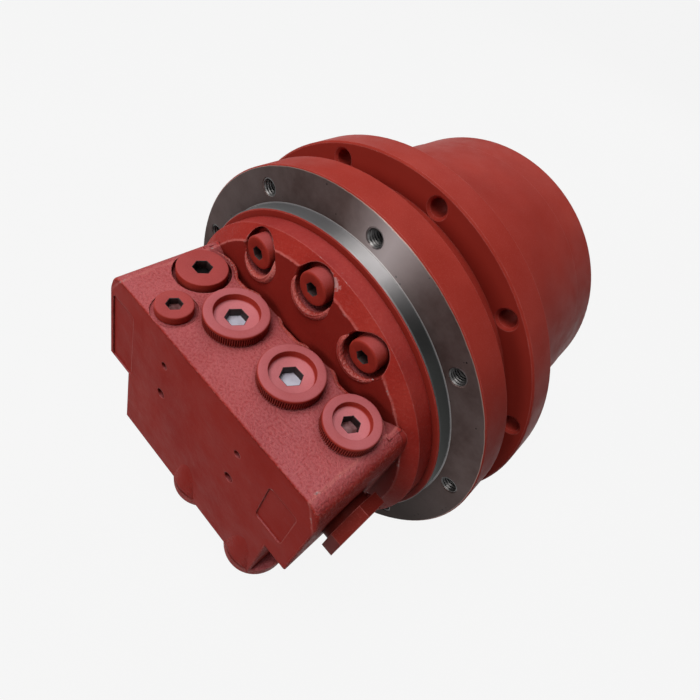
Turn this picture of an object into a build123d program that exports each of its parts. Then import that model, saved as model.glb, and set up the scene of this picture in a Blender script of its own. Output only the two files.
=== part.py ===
import os
from math import acos, cos, pi, radians, sin, tan

from build123d import *

os.makedirs("parts", exist_ok=True)

# Millimetres. The drive axis is +Y, the plug face of the motor head looks along +Z,
# and the origin is the centre of the face that bolts to the track frame.

# Clearances
running = 0.05
clear = 0.3
press = 0.01
edge = 1.0

# Gears, both stages alike
module = 3.0
pressure = radians(25)
ring_teeth = 60
planet_teeth = 24
sun_teeth = 12
planet_count = 3
addendum = 0.8 * module
dedendum = 1.05 * module
backlash = 0.36
ring_wall = 5.85
planet_pitch = module * (sun_teeth + planet_teeth) / 2
ring_out_r = module * ring_teeth / 2 + dedendum + ring_wall

# Main bearings between spindle and drum
hub_step = 4.0
hub_rib = 6.0
hub_shoulder = 8.5
bearing_section = 21.0
bearing_w = 18.0
bearing_gap = 4.0
roller_r = 4.2
roller_count = 28
race_gap = 0.2
rib_h = 2.3
rib_w = 2.0
cage_t = 2.8
cage_rim = 1.3
nut_w = 6.0
nut_h = 10.0
nut_slots = 6
nut_slot_w = 8.0
bearing_out_r = ring_out_r - hub_step
spindle_r = bearing_out_r - bearing_section
spindle_shoulder_r = spindle_r + 6.0
roller_pitch_r = (bearing_out_r + spindle_r) / 2
inner_race_r = roller_pitch_r - roller_r - race_gap
outer_race_r = roller_pitch_r + roller_r + race_gap

# Floating face seal and labyrinth
seal_w = 8.0
seal_ring_l = 9.0
toric_r = 3.9
toric_gap = 0.1
toric_back = 6.8
seal_slope = 2.0
lip_wall = 5.4
lip_gap = 1.8
hub_lip_t = 3.0
lip_overlap_gap = 2.5
seal_in_r = spindle_shoulder_r + 4.0
seal_out_r = seal_in_r + seal_w
toric_pitch_r = seal_out_r + toric_gap + toric_r
seal_pocket_r = toric_pitch_r + toric_r + toric_gap
housing_lip_r = seal_pocket_r + lip_wall
hub_lip_in_r = housing_lip_r + lip_gap
hub_lip_out_r = hub_lip_in_r + hub_lip_t

# Track-frame flange, fixed, with the places along the axis that follow from it
frame_flange_t = 22.0
frame_pilot_l = 9.0
frame_bolt_count = 9
frame_bolt_turn = 3.1
frame_bolt_depth = 20.0
tap_r = 5.1
tap_mouth = 0.4
frame_pilot_r = seal_pocket_r + 2.0
frame_bolt_r = frame_pilot_r + 8.5
frame_flange_r = frame_bolt_r + 11.5
seal_floor_y = frame_flange_t + 2.0
seal_face_y = frame_flange_t + 14.0
hub_lip_y = frame_flange_t + 4.5
hub_floor_y = seal_face_y + 11.0
front_bearing_y = seal_face_y + 16.0
rear_bearing_y = front_bearing_y + bearing_w + bearing_gap
nut_y = rear_bearing_y + bearing_w
spindle_end_y = nut_y + nut_w + 2.0
bearing_ys = (front_bearing_y, rear_bearing_y)

# Sprocket flange and drum, turning
sprocket_flange_y = seal_face_y + 5.0
sprocket_flange_t = 21.0
sprocket_bolt_count = 11
sprocket_bolt_turn = 4.8
sprocket_mouth = 1.4
sprocket_seat_l = 14.0
sprocket_bolt_r = hub_lip_out_r + 6.8
sprocket_flange_r = sprocket_bolt_r + 9.5
drum_wall = 8.0
drum_draft = 0.7
drum_end_round = 5.0
drum_end_r = ring_out_r + drum_wall
drum_seam_r = drum_end_r + drum_draft
drum_neck_r = drum_seam_r + drum_draft

# Gear train along the axis
pin_collar_t = 1.6
pin_collar_w = 3.0
pin_head_t = 2.2
pin_head_w = 3.5
pin_play = 0.4
pin_grip = 17.5
second_w = 18.0
first_w = 16.0
second_pin_r = 11.0
first_pin_r = 9.0
carrier_t = 8.0
carrier_r = planet_pitch + first_pin_r + 5.0
carrier_window_r = 12.0
carrier_window_pitch = 46.0
stage_gap = 2.4
quill_r = 8.4
sun_bore_r = 10.5
spline_module = 1.25
spline_teeth = 12
spline_l = 19.0
end_play = 0.5
ring_start_y = spindle_end_y + end_play
second_y = spindle_end_y + pin_collar_t + pin_play
carrier_y = second_y + second_w + pin_play + pin_head_t + stage_gap
first_y = carrier_y + carrier_t + pin_collar_t + pin_play
ring_end_y = first_y + first_w + 5.5

# Cover at the end of the drum
cover_t = 12.0
snap_t = 2.6
snap_w = 6.45
snap_groove = 3.0
snap_gap_w = 22.0
drum_lip = 6.0
cover_dome_r = 40.0
cover_dome_h = 3.0
cover_dome_taper = 20.0
cover_seal_groove_y = 4.0
cover_seal_groove_w = 3.8
cover_seal_groove_t = 3.2
cover_seal_r = 1.6
oil_plug_turns = (90.0, 210.0, 330.0)
oil_plug_pitch = 62.0
oil_plug_r = 12.0
oil_plug_h = 6.0
oil_plug_key_r = 4.0
oil_plug_key_l = 5.0
oil_thread_r = 8.0
button_r = 10.0
button_seat_l = 4.0
snap_play = 0.1
drum_end_l = 31.0
cover_y = ring_end_y + end_play
cover_end_y = cover_y + cover_t
snap_y = cover_end_y + clear
groove_end_y = snap_y + snap_t + snap_play
drum_end_y = groove_end_y + drum_lip
drum_seam_y = drum_end_y - drum_end_l

# Hydraulic motor
shaft_r = 12.5
shaft_collar_r = 14.0
rear_journal_r = 11.0
front_journal_r = 16.0
front_roller_r = 3.3
front_roller_count = 14
front_ring_t = 3.0
front_bearing_w = 14.0
seal_seat_r = 24.0
shaft_seal_t = 6.0
piston_r = 7.0
piston_pitch = 27.0
piston_count = 9
piston_wall = 7.0
piston_room = 3.0
port_slot_l = 4.0
piston_neck_r = 4.5
kidney_r = 3.5
kidney_sweep = 62.0
shoe_r = 8.5
shoe_neck_r = 6.0
shoe_neck_l = 3.3
shoe_t = 3.5
retainer_t = 2.6
swash_angle = 10.0
swash_t = 12.0
swash_bore_step = 6.0
swash_room = 7.0
swash_hole_r = 20.0
swash_pivot_x = 36.0
pivot_ball_r = 7.0
pivot_stem_r = 4.0
pivot_stem_l = 9.0
speed_piston_r = 7.0
speed_piston_l = 16.0
speed_nose_r = 2.5
speed_nose_l = 2.2
speed_bore_l = 18.0
speed_piston_z = -36.0
valve_plate_t = 5.0
rear_bush_t = 4.0
rear_bush_l = 19.0
shaft_tail = 24.0
bush_end_gap = 2.0
front_roller_pitch = front_journal_r + race_gap + front_roller_r
front_race_r = front_roller_pitch + front_roller_r + race_gap
front_seat_r = front_race_r + front_ring_t
rear_bush_r = rear_journal_r + rear_bush_t
front_seat_y = spindle_end_y - 22.0
seal_seat_y = front_seat_y + front_bearing_w
spindle_wall_y = front_seat_y - 2.0
swash_pivot_y = spindle_wall_y - 5.5
swash_y = swash_pivot_y - swash_t - 4.0
block_start_y = valve_plate_t - frame_pilot_l
block_end_y = swash_y - 20.5
block_r = piston_pitch + piston_r + piston_wall
piston_end_y = block_end_y + 5.0
shoe_y = piston_end_y + 2.0

# Parking brake
brake_ring_w = 19.0
rotor_bore_l = 26.0
steel_t = 2.0
friction_t = 2.4
backing_t = 4.3
disc_gap = 0.3
disc_edge = 3.0
plate_room = 2.0
brake_piston_in = 4.0
brake_room = 4.5
brake_spring_w = 12.0
brake_spring_t = 1.0
brake_spring_cone = 1.6
rotor_bore_r = block_r + brake_ring_w
swash_bore_r = rotor_bore_r - swash_bore_step
swash_r = swash_bore_r - swash_room
backing_y = rotor_bore_l - backing_t
disc_step = steel_t + friction_t + 2 * disc_gap
brake_piston_y = brake_room - frame_pilot_l
brake_piston_end_y = backing_y - 2 * disc_step - disc_gap

# Motor head casting
head_screw_turns = (0.0, 27.5, 108.0, 152.5, 180.0, 207.5, 252.0, 332.5)
head_rim = 13.0
head_rim_l = 11.0
head_cone_l = 5.5
head_cone_w = 8.5
head_face_z = 54.0
head_ear_z = -11.0
head_foot_w = 128.0
head_foot_shift = 2.0
head_foot_z = -56.0
head_lean = 13.1
head_corner_w = 2.5
head_corner_h = 4.0
head_shoulder_w = 8.0
head_shoulder_h = 12.0
head_shoulder_round = 9.0
head_round = 1.6
head_slope_w = 35.0
head_slope_l = 6.0
valley_depth = 5.0
valley_y = 7.5
valley_round = 2.0
relief_boss_w = 7.0
outer_boss_r = 18.5
pocket_r = 12.0
pocket_lip = 1.5
screw_head_r = 9.0
screw_head_h = 12.0
screw_key_r = 5.0
screw_key_l = 6.0
screw_reach = 30.0
screw_hole_r = 6.6
screw_seat_l = 9.0
screw_tip_room = 3.0
head_step = 4.5
seal_inset = 13.5
head_r = frame_pilot_r - head_step
head_screw_r = head_r - head_rim
head_rim_y = -frame_pilot_l - head_rim_l
head_wall_y = head_rim_y - head_cone_l
head_wall_r = head_r - head_cone_w
head_root_y = head_wall_y - head_slope_l
head_screw_seat_y = -frame_pilot_l - screw_seat_l
head_seal_r = head_screw_r - seal_inset
head_seal_wire_r = 1.35
head_seal_groove = 2.8
head_seal_room = 0.65
panel_inset = 13.0
panel_drop = 39.0
panel_w = 19.0
panel_h = 49.0
panel_round = 2.5
panel_depth = 0.8
mark_inset = 19.0
mark_drop = 33.5
mark_h = 31.0
dowel_x = 30.0
dowel_drop = 22.5
dowel_r = 2.2
tap_drop = 46.5
end_tap_r = 3.0
end_tap_l = 4.0

# Plugs of the head, with the bores under them
relief_plug_r = 16.7
relief_plug_h = 7.6
relief_dish_r = 11.6
relief_dish_l = 4.2
relief_thread_r = 12.0
relief_thread_l = 14.0
relief_key_r = 5.0
relief_key_l = 5.0
relief_bore_r = 9.2
relief_bore_l = 36.0
relief_valve_l = 17.0
relief_groove_l = 4.5
relief_neck_r = 7.0
relief_nose_r = 5.0
relief_nose_l = 1.5
shuttle_plug_r = 14.6
shuttle_plug_h = 7.6
shuttle_dish_r = 9.6
shuttle_dish_l = 3.8
shuttle_thread_r = 10.5
shuttle_thread_l = 14.0
shuttle_key_r = 4.0
shuttle_key_l = 5.0
speed_plug_r = 13.5
speed_plug_h = 3.4
speed_seat_l = 4.0
speed_seat_w = 2.0
speed_thread_r = 10.0
speed_thread_l = 6.0
speed_key_r = 4.4
speed_key_l = 5.0
gauge_plug_r = 9.4
gauge_plug_h = 4.6
gauge_seat_w = 2.1
gauge_seat_l = 0.6
gauge_thread_r = 5.0
gauge_thread_l = 12.0
gauge_key_r = 3.4
gauge_key_l = 4.0
plug_edge = 0.8
thread_end_gap = 0.5
plug_gap = 4.6
relief_x = relief_plug_r + plug_gap
relief_y = head_wall_y - 26.0
outer_plug_y = head_wall_y - 20.5
shuttle_x = relief_x + relief_plug_r + shuttle_plug_r + plug_gap
speed_x = relief_x + relief_plug_r + speed_plug_r + speed_seat_w + plug_gap
gauge_x = relief_x + 21.3
gauge_y = relief_y - 20.9
head_side_x = shuttle_x + shuttle_plug_r + 9.2
head_top_y = gauge_y - gauge_plug_r - gauge_seat_w
head_low_y = head_top_y - head_lean
valley_half = head_side_x - head_shoulder_w
head_foot_left = head_foot_shift - head_foot_w / 2
head_foot_right = head_foot_shift + head_foot_w / 2
relief_plug_at = ((-relief_x, relief_y), (relief_x, relief_y))
shuttle_plug_at = (shuttle_x, outer_plug_y)
speed_plug_at = (-speed_x, outer_plug_y)
gauge_plug_at = (-gauge_x, gauge_y)

# Valves inside the head
spool_r = 9.0
spool_neck_r = 5.5
spool_groove_l = 14.0
spool_land_l = 8.0
spool_drop = 42.0
spool_end_room = 39.0
cap_thread_r = 13.0
cap_thread_l = 15.0
cap_collar_w = 1.2
cap_collar_t = 4.0
cap_hex_r = 16.0
cap_hex_t = 7.0
cap_bore_r = 8.0
cap_bore_l = 3.5
cap_bore_stop = 5.5
spool_spring_r = 6.0
spool_wire_r = 0.9
spool_spring_pitch = 5.0
speed_spool_r = 6.0
speed_spool_l = 13.0
speed_spool_neck_r = 4.0
speed_groove_l = 4.0
speed_spring_r = 4.6
speed_wire_r = 0.55
speed_spring_pitch = 1.8
speed_spring_l = 4.2
speed_spring_seat_r = 6.5
spool_y = relief_y - 5.4
spool_z = head_face_z - spool_drop
spool_half = head_side_x - spool_end_room
valve_top_z = head_face_z - relief_thread_l

# Ports of the head
port_x = (2.0, 54.0)
port_inset = 17.0
port_boss_r = 19.5
port_boss_t = 5.0
port_boss_root = 4.0
port_thread_r = 9.3
port_thread_l = 18.0
port_bore_r = 6.0
port_bore_l = 46.0
drain_drop = 20.0
drain_back = 3.0
drain_thread_r = 5.9
drain_thread_l = 20.0
pilot_thread_r = 4.4
port_y = head_low_y + port_inset
port_at = ((port_x[0], port_y), (port_x[1], port_y))
port_mouth_z = head_foot_z - port_boss_t
drain_at = (spool_y - drain_back, head_foot_z + drain_drop)


def across(y):
    return Plane(origin=(0, y, 0), x_dir=(0, 0, 1), z_dir=(0, 1, 0))


def upright(z):
    return Plane(origin=(0, 0, z), x_dir=(1, 0, 0), z_dir=(0, 0, 1))


def sideways(x):
    return Plane(origin=(x, 0, 0), x_dir=(0, 1, 0), z_dir=(1, 0, 0))


def polar(radius, turn):
    return (radius * cos(radians(turn)), radius * sin(radians(turn)))


def tooth_half(teeth, size, thickness, radius):
    pitch_r = size * teeth / 2
    lean = acos(min(1.0, pitch_r * cos(pressure) / radius))
    half = thickness / (2 * pitch_r) + tan(pressure) - pressure - tan(lean) + lean
    return half * 180 / pi


def toothed(teeth, size, low_r, high_r, thickness, turn):
    base_r = size * teeth / 2 * cos(pressure)
    start_r = max(low_r, base_r + 0.01)
    middle_r = (start_r + high_r) / 2
    with BuildSketch(Plane.XY) as outline:
        with BuildLine():
            for i in range(teeth):
                at = turn + 360 * i / teeth
                left = []
                right = []
                for r in (start_r, middle_r, high_r):
                    half = tooth_half(teeth, size, thickness, r)
                    left.append(polar(r, at - half))
                    right.append(polar(r, at + half))
                foot = tooth_half(teeth, size, thickness, start_r)
                if low_r < start_r - 0.02:
                    Line(polar(low_r, at - foot), left[0])
                    Line(right[0], polar(low_r, at + foot))
                ThreePointArc(left[0], left[1], left[2])
                ThreePointArc(left[2], polar(high_r, at), right[2])
                ThreePointArc(right[2], right[1], right[0])
                ahead = at + 360 / teeth - foot
                gap = (at + foot + ahead) / 2
                ThreePointArc(polar(low_r, at + foot), polar(low_r, gap), polar(low_r, ahead))
        make_face()
    return outline.sketch


def outside_gear(teeth, turn):
    pitch_r = module * teeth / 2
    thickness = pi * module / 2 - backlash / 2
    return toothed(teeth, module, pitch_r - dedendum, pitch_r + addendum, thickness, turn)


def inside_gear(teeth, turn):
    pitch_r = module * teeth / 2
    thickness = pi * module / 2 + backlash / 2
    return toothed(teeth, module, pitch_r - addendum, pitch_r + dedendum, thickness, turn)


def ring_edges(part, radius, axis, value):
    found = []
    for edge in part.edges().filter_by(GeomType.CIRCLE):
        place = edge.arc_center
        if abs(edge.radius - radius) < 0.01 and abs((place.X, place.Y, place.Z)[axis] - value) < 0.01:
            found.append(edge)
    return found


spline_pitch_r = spline_module * spline_teeth / 2
spline_width = pi * spline_module / 2
spline_root_r = spline_pitch_r - spline_module
spline_tip_r = spline_pitch_r + 0.8 * spline_module
spline_play = running + 0.01
spline_end = toothed(
    spline_teeth,
    spline_module,
    spline_root_r - running,
    spline_tip_r - running,
    spline_width - spline_play,
    0,
)
spline_hole = toothed(
    spline_teeth,
    spline_module,
    spline_root_r + running,
    spline_tip_r + running,
    spline_width + spline_play,
    0,
)
sun_pitch_r = module * sun_teeth / 2
sun_root_r = sun_pitch_r - dedendum
sun_tip_r = sun_pitch_r + addendum
sun_width = pi * module / 2 - backlash / 2 + 2 * running
sun_socket = toothed(sun_teeth, module, sun_root_r + running, sun_tip_r + running, sun_width, 0)
end_lean = Vector(0, head_foot_z - head_face_z, head_top_y - head_low_y)
end_face = Plane(origin=(0, head_top_y, head_face_z), x_dir=(1, 0, 0), z_dir=end_lean)

# Frame housing: flange, pilot and spindle in one casting
with BuildPart() as frame_housing:
    with BuildSketch(Plane.XY):
        with BuildLine():
            Polyline(
                (rotor_bore_r, -frame_pilot_l),
                (frame_pilot_r - edge, -frame_pilot_l),
                (frame_pilot_r, edge - frame_pilot_l),
                (frame_pilot_r, 0),
                (frame_flange_r - edge, 0),
                (frame_flange_r, edge),
                (frame_flange_r, frame_flange_t - edge),
                (frame_flange_r - edge, frame_flange_t),
                (housing_lip_r, frame_flange_t),
                (housing_lip_r, seal_face_y - lip_overlap_gap),
                (seal_pocket_r, seal_face_y - lip_overlap_gap),
                (seal_pocket_r, seal_floor_y),
                (spindle_shoulder_r, seal_floor_y),
                (spindle_shoulder_r, front_bearing_y),
                (spindle_r, front_bearing_y),
                (spindle_r, spindle_end_y - edge),
                (spindle_r - edge, spindle_end_y),
                (seal_seat_r, spindle_end_y),
                (seal_seat_r, seal_seat_y),
                (front_seat_r, seal_seat_y),
                (front_seat_r, front_seat_y),
                (swash_hole_r, front_seat_y),
                (swash_hole_r, spindle_wall_y),
                (swash_bore_r, spindle_wall_y),
                (swash_bore_r, rotor_bore_l),
                (rotor_bore_r, rotor_bore_l),
                close=True,
            )
        make_face()
    revolve(axis=Axis.Y)
    with BuildSketch(across(0)):
        with PolarLocations(frame_bolt_r, frame_bolt_count, start_angle=frame_bolt_turn):
            Circle(tap_r)
    extrude(amount=frame_bolt_depth, mode=Mode.SUBTRACT)
    chamfer(ring_edges(frame_housing.part, tap_r, 1, 0), tap_mouth)
    with BuildSketch(across(spindle_end_y)):
        with PolarLocations(planet_pitch, planet_count):
            Circle(second_pin_r)
    extrude(amount=-pin_grip - thread_end_gap, mode=Mode.SUBTRACT)
    with BuildSketch(across(spindle_wall_y)):
        with Locations((speed_piston_z, 0)):
            Circle(speed_piston_r + running)
    extrude(amount=speed_bore_l, mode=Mode.SUBTRACT)
    with BuildSketch(across(spindle_wall_y)):
        with Locations((0, swash_pivot_x), (0, -swash_pivot_x)):
            Circle(pivot_stem_r)
    extrude(amount=pivot_stem_l, mode=Mode.SUBTRACT)
    with BuildSketch(across(-frame_pilot_l)):
        for turn in head_screw_turns:
            with Locations(polar(head_screw_r, turn)):
                Circle(tap_r)
    extrude(amount=screw_reach - screw_seat_l + screw_tip_room, mode=Mode.SUBTRACT)
frame_housing.part.label = "frame_housing"
export_step(frame_housing.part, "parts/frame_housing.step")

# Motor head casting
with BuildPart() as motor_head:
    with BuildSketch(Plane.XY):
        with BuildLine():
            Polyline(
                (0, -frame_pilot_l),
                (head_r, -frame_pilot_l),
                (head_r, head_rim_y),
                (head_wall_r, head_wall_y),
                (0, head_wall_y),
                close=True,
            )
        make_face()
    revolve(axis=Axis.Y)
    with BuildSketch(Plane(origin=(0, head_rim_y, 0), x_dir=(1, 0, 0), z_dir=(0, -1, 0))) as block:
        with BuildLine():
            Polyline(
                (-head_side_x + head_shoulder_w, head_face_z),
                (head_side_x - head_shoulder_w, head_face_z),
                (head_side_x - head_corner_w, head_face_z - head_corner_h),
                (head_side_x, head_face_z - head_shoulder_h),
                (head_side_x, head_ear_z),
                (head_foot_right, head_ear_z),
                (head_foot_right, head_foot_z),
                (head_foot_left, head_foot_z),
                (head_foot_left, head_ear_z),
                (-head_side_x, head_ear_z),
                (-head_side_x, head_face_z - head_shoulder_h),
                (-head_side_x + head_corner_w, head_face_z - head_corner_h),
                close=True,
            )
        make_face()
        shoulders = [v for v in block.vertices() if v.Y > head_ear_z + edge]
        fillet(shoulders, head_shoulder_round)
    extrude(amount=head_rim_y - head_low_y + edge)
    with BuildSketch(sideways(-2 * head_side_x)):
        with BuildLine():
            Polyline(
                (head_top_y, 2 * head_face_z),
                (head_top_y, head_face_z),
                (head_low_y, head_foot_z),
                (2 * head_low_y, head_foot_z),
                (2 * head_low_y, 2 * head_face_z),
                close=True,
            )
        make_face()
    extrude(amount=4 * head_side_x, mode=Mode.SUBTRACT)
    fillet(motor_head.faces().sort_by(Axis.Y)[0].edges(), head_round)
    with BuildSketch(upright(head_foot_z - port_boss_t)):
        with Locations(*port_at):
            Circle(port_boss_r)
    extrude(amount=port_boss_t + port_boss_root)
    with BuildSketch(upright(head_face_z - valley_depth)) as valley:
        with Locations((0, head_wall_y - valley_y / 2)):
            Rectangle(2 * valley_half, valley_y)
        with Locations(*relief_plug_at):
            Circle(relief_plug_r + relief_boss_w, mode=Mode.SUBTRACT)
        with Locations(speed_plug_at, shuttle_plug_at):
            Circle(outer_boss_r, mode=Mode.SUBTRACT)
        bends = [v for v in valley.vertices() if abs(v.X) < valley_half - 2 * valley_round]
        fillet(bends, valley_round)
    extrude(amount=head_r, mode=Mode.SUBTRACT)
    with BuildSketch(Plane.XY):
        with BuildLine():
            Polyline(
                (0, head_wall_y),
                (head_wall_r, head_wall_y),
                (head_wall_r - head_slope_w, head_root_y),
                (0, head_root_y),
                close=True,
            )
        make_face()
    revolve(axis=Axis.Y)
    with BuildSketch(across(head_screw_seat_y)):
        for turn in head_screw_turns:
            with Locations(polar(head_screw_r, turn)):
                Circle(pocket_r)
    extrude(amount=head_root_y - head_screw_seat_y, mode=Mode.SUBTRACT)
    lips = motor_head.edges(Select.LAST).filter_by(GeomType.BSPLINE)
    fillet(lips.filter_by(lambda lip: (lip @ 0.5).Y < head_wall_y), pocket_lip)
    with BuildSketch(across(-frame_pilot_l)):
        for turn in head_screw_turns:
            with Locations(polar(head_screw_r, turn)):
                Circle(screw_hole_r)
    extrude(amount=head_wall_y + frame_pilot_l, mode=Mode.SUBTRACT)
    with BuildSketch(across(-frame_pilot_l)):
        Circle(rear_bush_r)
    extrude(amount=-shaft_tail - edge, mode=Mode.SUBTRACT)
    with BuildSketch(across(-frame_pilot_l)):
        Circle(head_seal_r + head_seal_wire_r + head_seal_room)
        Circle(head_seal_r - head_seal_wire_r - head_seal_room, mode=Mode.SUBTRACT)
    extrude(amount=-head_seal_groove, mode=Mode.SUBTRACT)
    with BuildSketch(upright(port_mouth_z)):
        with Locations(*port_at):
            Circle(port_thread_r)
    extrude(amount=port_thread_l, mode=Mode.SUBTRACT)
    with BuildSketch(upright(port_mouth_z)):
        with Locations(*port_at):
            Circle(port_bore_r)
    extrude(amount=port_bore_l, mode=Mode.SUBTRACT)
    with BuildSketch(sideways(-head_side_x)):
        with Locations((spool_y, spool_z)):
            Circle(spool_r + running)
    extrude(amount=2 * head_side_x, mode=Mode.SUBTRACT)
    for side in (-1, 1):
        with BuildSketch(sideways(side * head_side_x)):
            with Locations((spool_y, spool_z)):
                Circle(cap_thread_r)
        extrude(amount=-side * cap_thread_l, mode=Mode.SUBTRACT)
    for places, radius, depth in (
        (relief_plug_at, relief_thread_r, relief_thread_l),
        (relief_plug_at, relief_bore_r, relief_bore_l),
        ((shuttle_plug_at,), shuttle_thread_r, shuttle_thread_l),
        ((speed_plug_at,), speed_plug_r + speed_seat_w, speed_seat_l),
        ((speed_plug_at,), speed_thread_r, speed_seat_l + speed_thread_l),
        ((speed_plug_at,), speed_spool_r + running, relief_thread_l + speed_spool_l + edge),
        ((gauge_plug_at,), gauge_plug_r + gauge_seat_w, gauge_seat_l),
        ((gauge_plug_at,), gauge_thread_r, gauge_thread_l),
    ):
        with BuildSketch(upright(head_face_z)):
            with Locations(*places):
                Circle(radius)
        extrude(amount=-depth, mode=Mode.SUBTRACT)
    with BuildSketch(sideways(head_foot_right)):
        with Locations(drain_at):
            Circle(drain_thread_r)
    extrude(amount=-drain_thread_l, mode=Mode.SUBTRACT)
    with BuildSketch(sideways(head_foot_left)):
        with Locations(drain_at):
            Circle(pilot_thread_r)
    extrude(amount=drain_thread_l, mode=Mode.SUBTRACT)
    with BuildSketch(end_face):
        with Locations((-head_side_x + panel_inset, -panel_drop)):
            RectangleRounded(panel_w, panel_h, panel_round)
        with Locations((head_side_x - mark_inset, -mark_drop)):
            RectangleRounded(panel_w, mark_h, panel_round)
    extrude(amount=-panel_depth, mode=Mode.SUBTRACT)
    with BuildSketch(end_face):
        with Locations((-dowel_x, -dowel_drop), (dowel_x, -dowel_drop)):
            Circle(dowel_r)
        with Locations((-dowel_x, -tap_drop), (dowel_x, -tap_drop)):
            Circle(end_tap_r)
    extrude(amount=-end_tap_l, mode=Mode.SUBTRACT)
motor_head.part.label = "motor_head"
export_step(motor_head.part, "parts/motor_head.step")

# Socket screws that hold the head to the housing
with BuildPart() as head_screws:
    for turn in head_screw_turns:
        with BuildSketch(across(head_screw_seat_y)):
            with Locations(polar(head_screw_r, turn)):
                Circle(screw_head_r)
        extrude(amount=-screw_head_h)
        with BuildSketch(across(head_screw_seat_y - screw_head_h)):
            with Locations(polar(head_screw_r, turn)):
                RegularPolygon(screw_key_r, 6, major_radius=False)
        extrude(amount=screw_key_l, mode=Mode.SUBTRACT)
        with BuildSketch(across(head_screw_seat_y)):
            with Locations(polar(head_screw_r, turn)):
                Circle(tap_r - running)
        extrude(amount=screw_reach)
    chamfer(ring_edges(head_screws.part, screw_head_r, 1, head_screw_seat_y - screw_head_h), edge)
head_screws.part.label = "head_screws"
export_step(head_screws.part, "parts/head_screws.step")

# Seal between head and housing
with BuildPart() as head_o_ring:
    with BuildSketch(Plane.XY):
        with Locations((head_seal_r, -frame_pilot_l - head_seal_groove / 2)):
            Circle(head_seal_wire_r)
    revolve(axis=Axis.Y)
head_o_ring.part.label = "head_o_ring"
export_step(head_o_ring.part, "parts/head_o_ring.step")

# Plugs of the plug face
with BuildPart() as relief_plugs:
    with BuildSketch(upright(head_face_z)):
        with Locations(*relief_plug_at):
            Circle(relief_plug_r)
    extrude(amount=relief_plug_h)
    chamfer(ring_edges(relief_plugs.part, relief_plug_r, 2, head_face_z + relief_plug_h), plug_edge)
    with BuildSketch(upright(head_face_z + relief_plug_h)):
        with Locations(*relief_plug_at):
            Circle(relief_dish_r)
    extrude(amount=-relief_dish_l, mode=Mode.SUBTRACT)
    with BuildSketch(upright(head_face_z)):
        with Locations(*relief_plug_at):
            Circle(relief_thread_r - running)
    extrude(amount=thread_end_gap - relief_thread_l)
    with BuildSketch(upright(head_face_z + relief_plug_h - relief_dish_l)):
        with Locations(*relief_plug_at):
            RegularPolygon(relief_key_r, 6, major_radius=False)
    extrude(amount=-relief_key_l, mode=Mode.SUBTRACT)
relief_plugs.part.label = "relief_plugs"
export_step(relief_plugs.part, "parts/relief_plugs.step")

with BuildPart() as shuttle_plug:
    with BuildSketch(upright(head_face_z)):
        with Locations(shuttle_plug_at):
            Circle(shuttle_plug_r)
    extrude(amount=shuttle_plug_h)
    chamfer(ring_edges(shuttle_plug.part, shuttle_plug_r, 2, head_face_z + shuttle_plug_h), plug_edge)
    with BuildSketch(upright(head_face_z + shuttle_plug_h)):
        with Locations(shuttle_plug_at):
            Circle(shuttle_dish_r)
    extrude(amount=-shuttle_dish_l, mode=Mode.SUBTRACT)
    with BuildSketch(upright(head_face_z)):
        with Locations(shuttle_plug_at):
            Circle(shuttle_thread_r - running)
    extrude(amount=thread_end_gap - shuttle_thread_l)
    with BuildSketch(upright(head_face_z + shuttle_plug_h - shuttle_dish_l)):
        with Locations(shuttle_plug_at):
            RegularPolygon(shuttle_key_r, 6, major_radius=False)
    extrude(amount=-shuttle_key_l, mode=Mode.SUBTRACT)
shuttle_plug.part.label = "shuttle_plug"
export_step(shuttle_plug.part, "parts/shuttle_plug.step")

with BuildPart() as speed_plug:
    with BuildSketch(upright(head_face_z - speed_seat_l)):
        with Locations(speed_plug_at):
            Circle(speed_plug_r)
    extrude(amount=speed_seat_l + speed_plug_h)
    chamfer(ring_edges(speed_plug.part, speed_plug_r, 2, head_face_z + speed_plug_h), plug_edge)
    with BuildSketch(upright(head_face_z - speed_seat_l)):
        with Locations(speed_plug_at):
            Circle(speed_thread_r - running)
    extrude(amount=thread_end_gap - speed_thread_l)
    with BuildSketch(upright(head_face_z - speed_seat_l - speed_thread_l)):
        with Locations(speed_plug_at):
            Circle(speed_spring_seat_r)
    extrude(amount=speed_thread_l, mode=Mode.SUBTRACT)
    with BuildSketch(upright(head_face_z + speed_plug_h)):
        with Locations(speed_plug_at):
            RegularPolygon(speed_key_r, 6, major_radius=False)
    extrude(amount=-speed_key_l, mode=Mode.SUBTRACT)
speed_plug.part.label = "speed_plug"
export_step(speed_plug.part, "parts/speed_plug.step")

with BuildPart() as gauge_plug:
    with BuildSketch(upright(head_face_z - gauge_seat_l)):
        with Locations(gauge_plug_at):
            Circle(gauge_plug_r)
    extrude(amount=gauge_seat_l + gauge_plug_h)
    chamfer(ring_edges(gauge_plug.part, gauge_plug_r, 2, head_face_z + gauge_plug_h), plug_edge)
    with BuildSketch(upright(head_face_z - gauge_seat_l)):
        with Locations(gauge_plug_at):
            Circle(gauge_thread_r - running)
    extrude(amount=gauge_seat_l + thread_end_gap - gauge_thread_l)
    with BuildSketch(upright(head_face_z + gauge_plug_h)):
        with Locations(gauge_plug_at):
            RegularPolygon(gauge_key_r, 6, major_radius=False)
    extrude(amount=-gauge_key_l, mode=Mode.SUBTRACT)
gauge_plug.part.label = "gauge_plug"
export_step(gauge_plug.part, "parts/gauge_plug.step")

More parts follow.
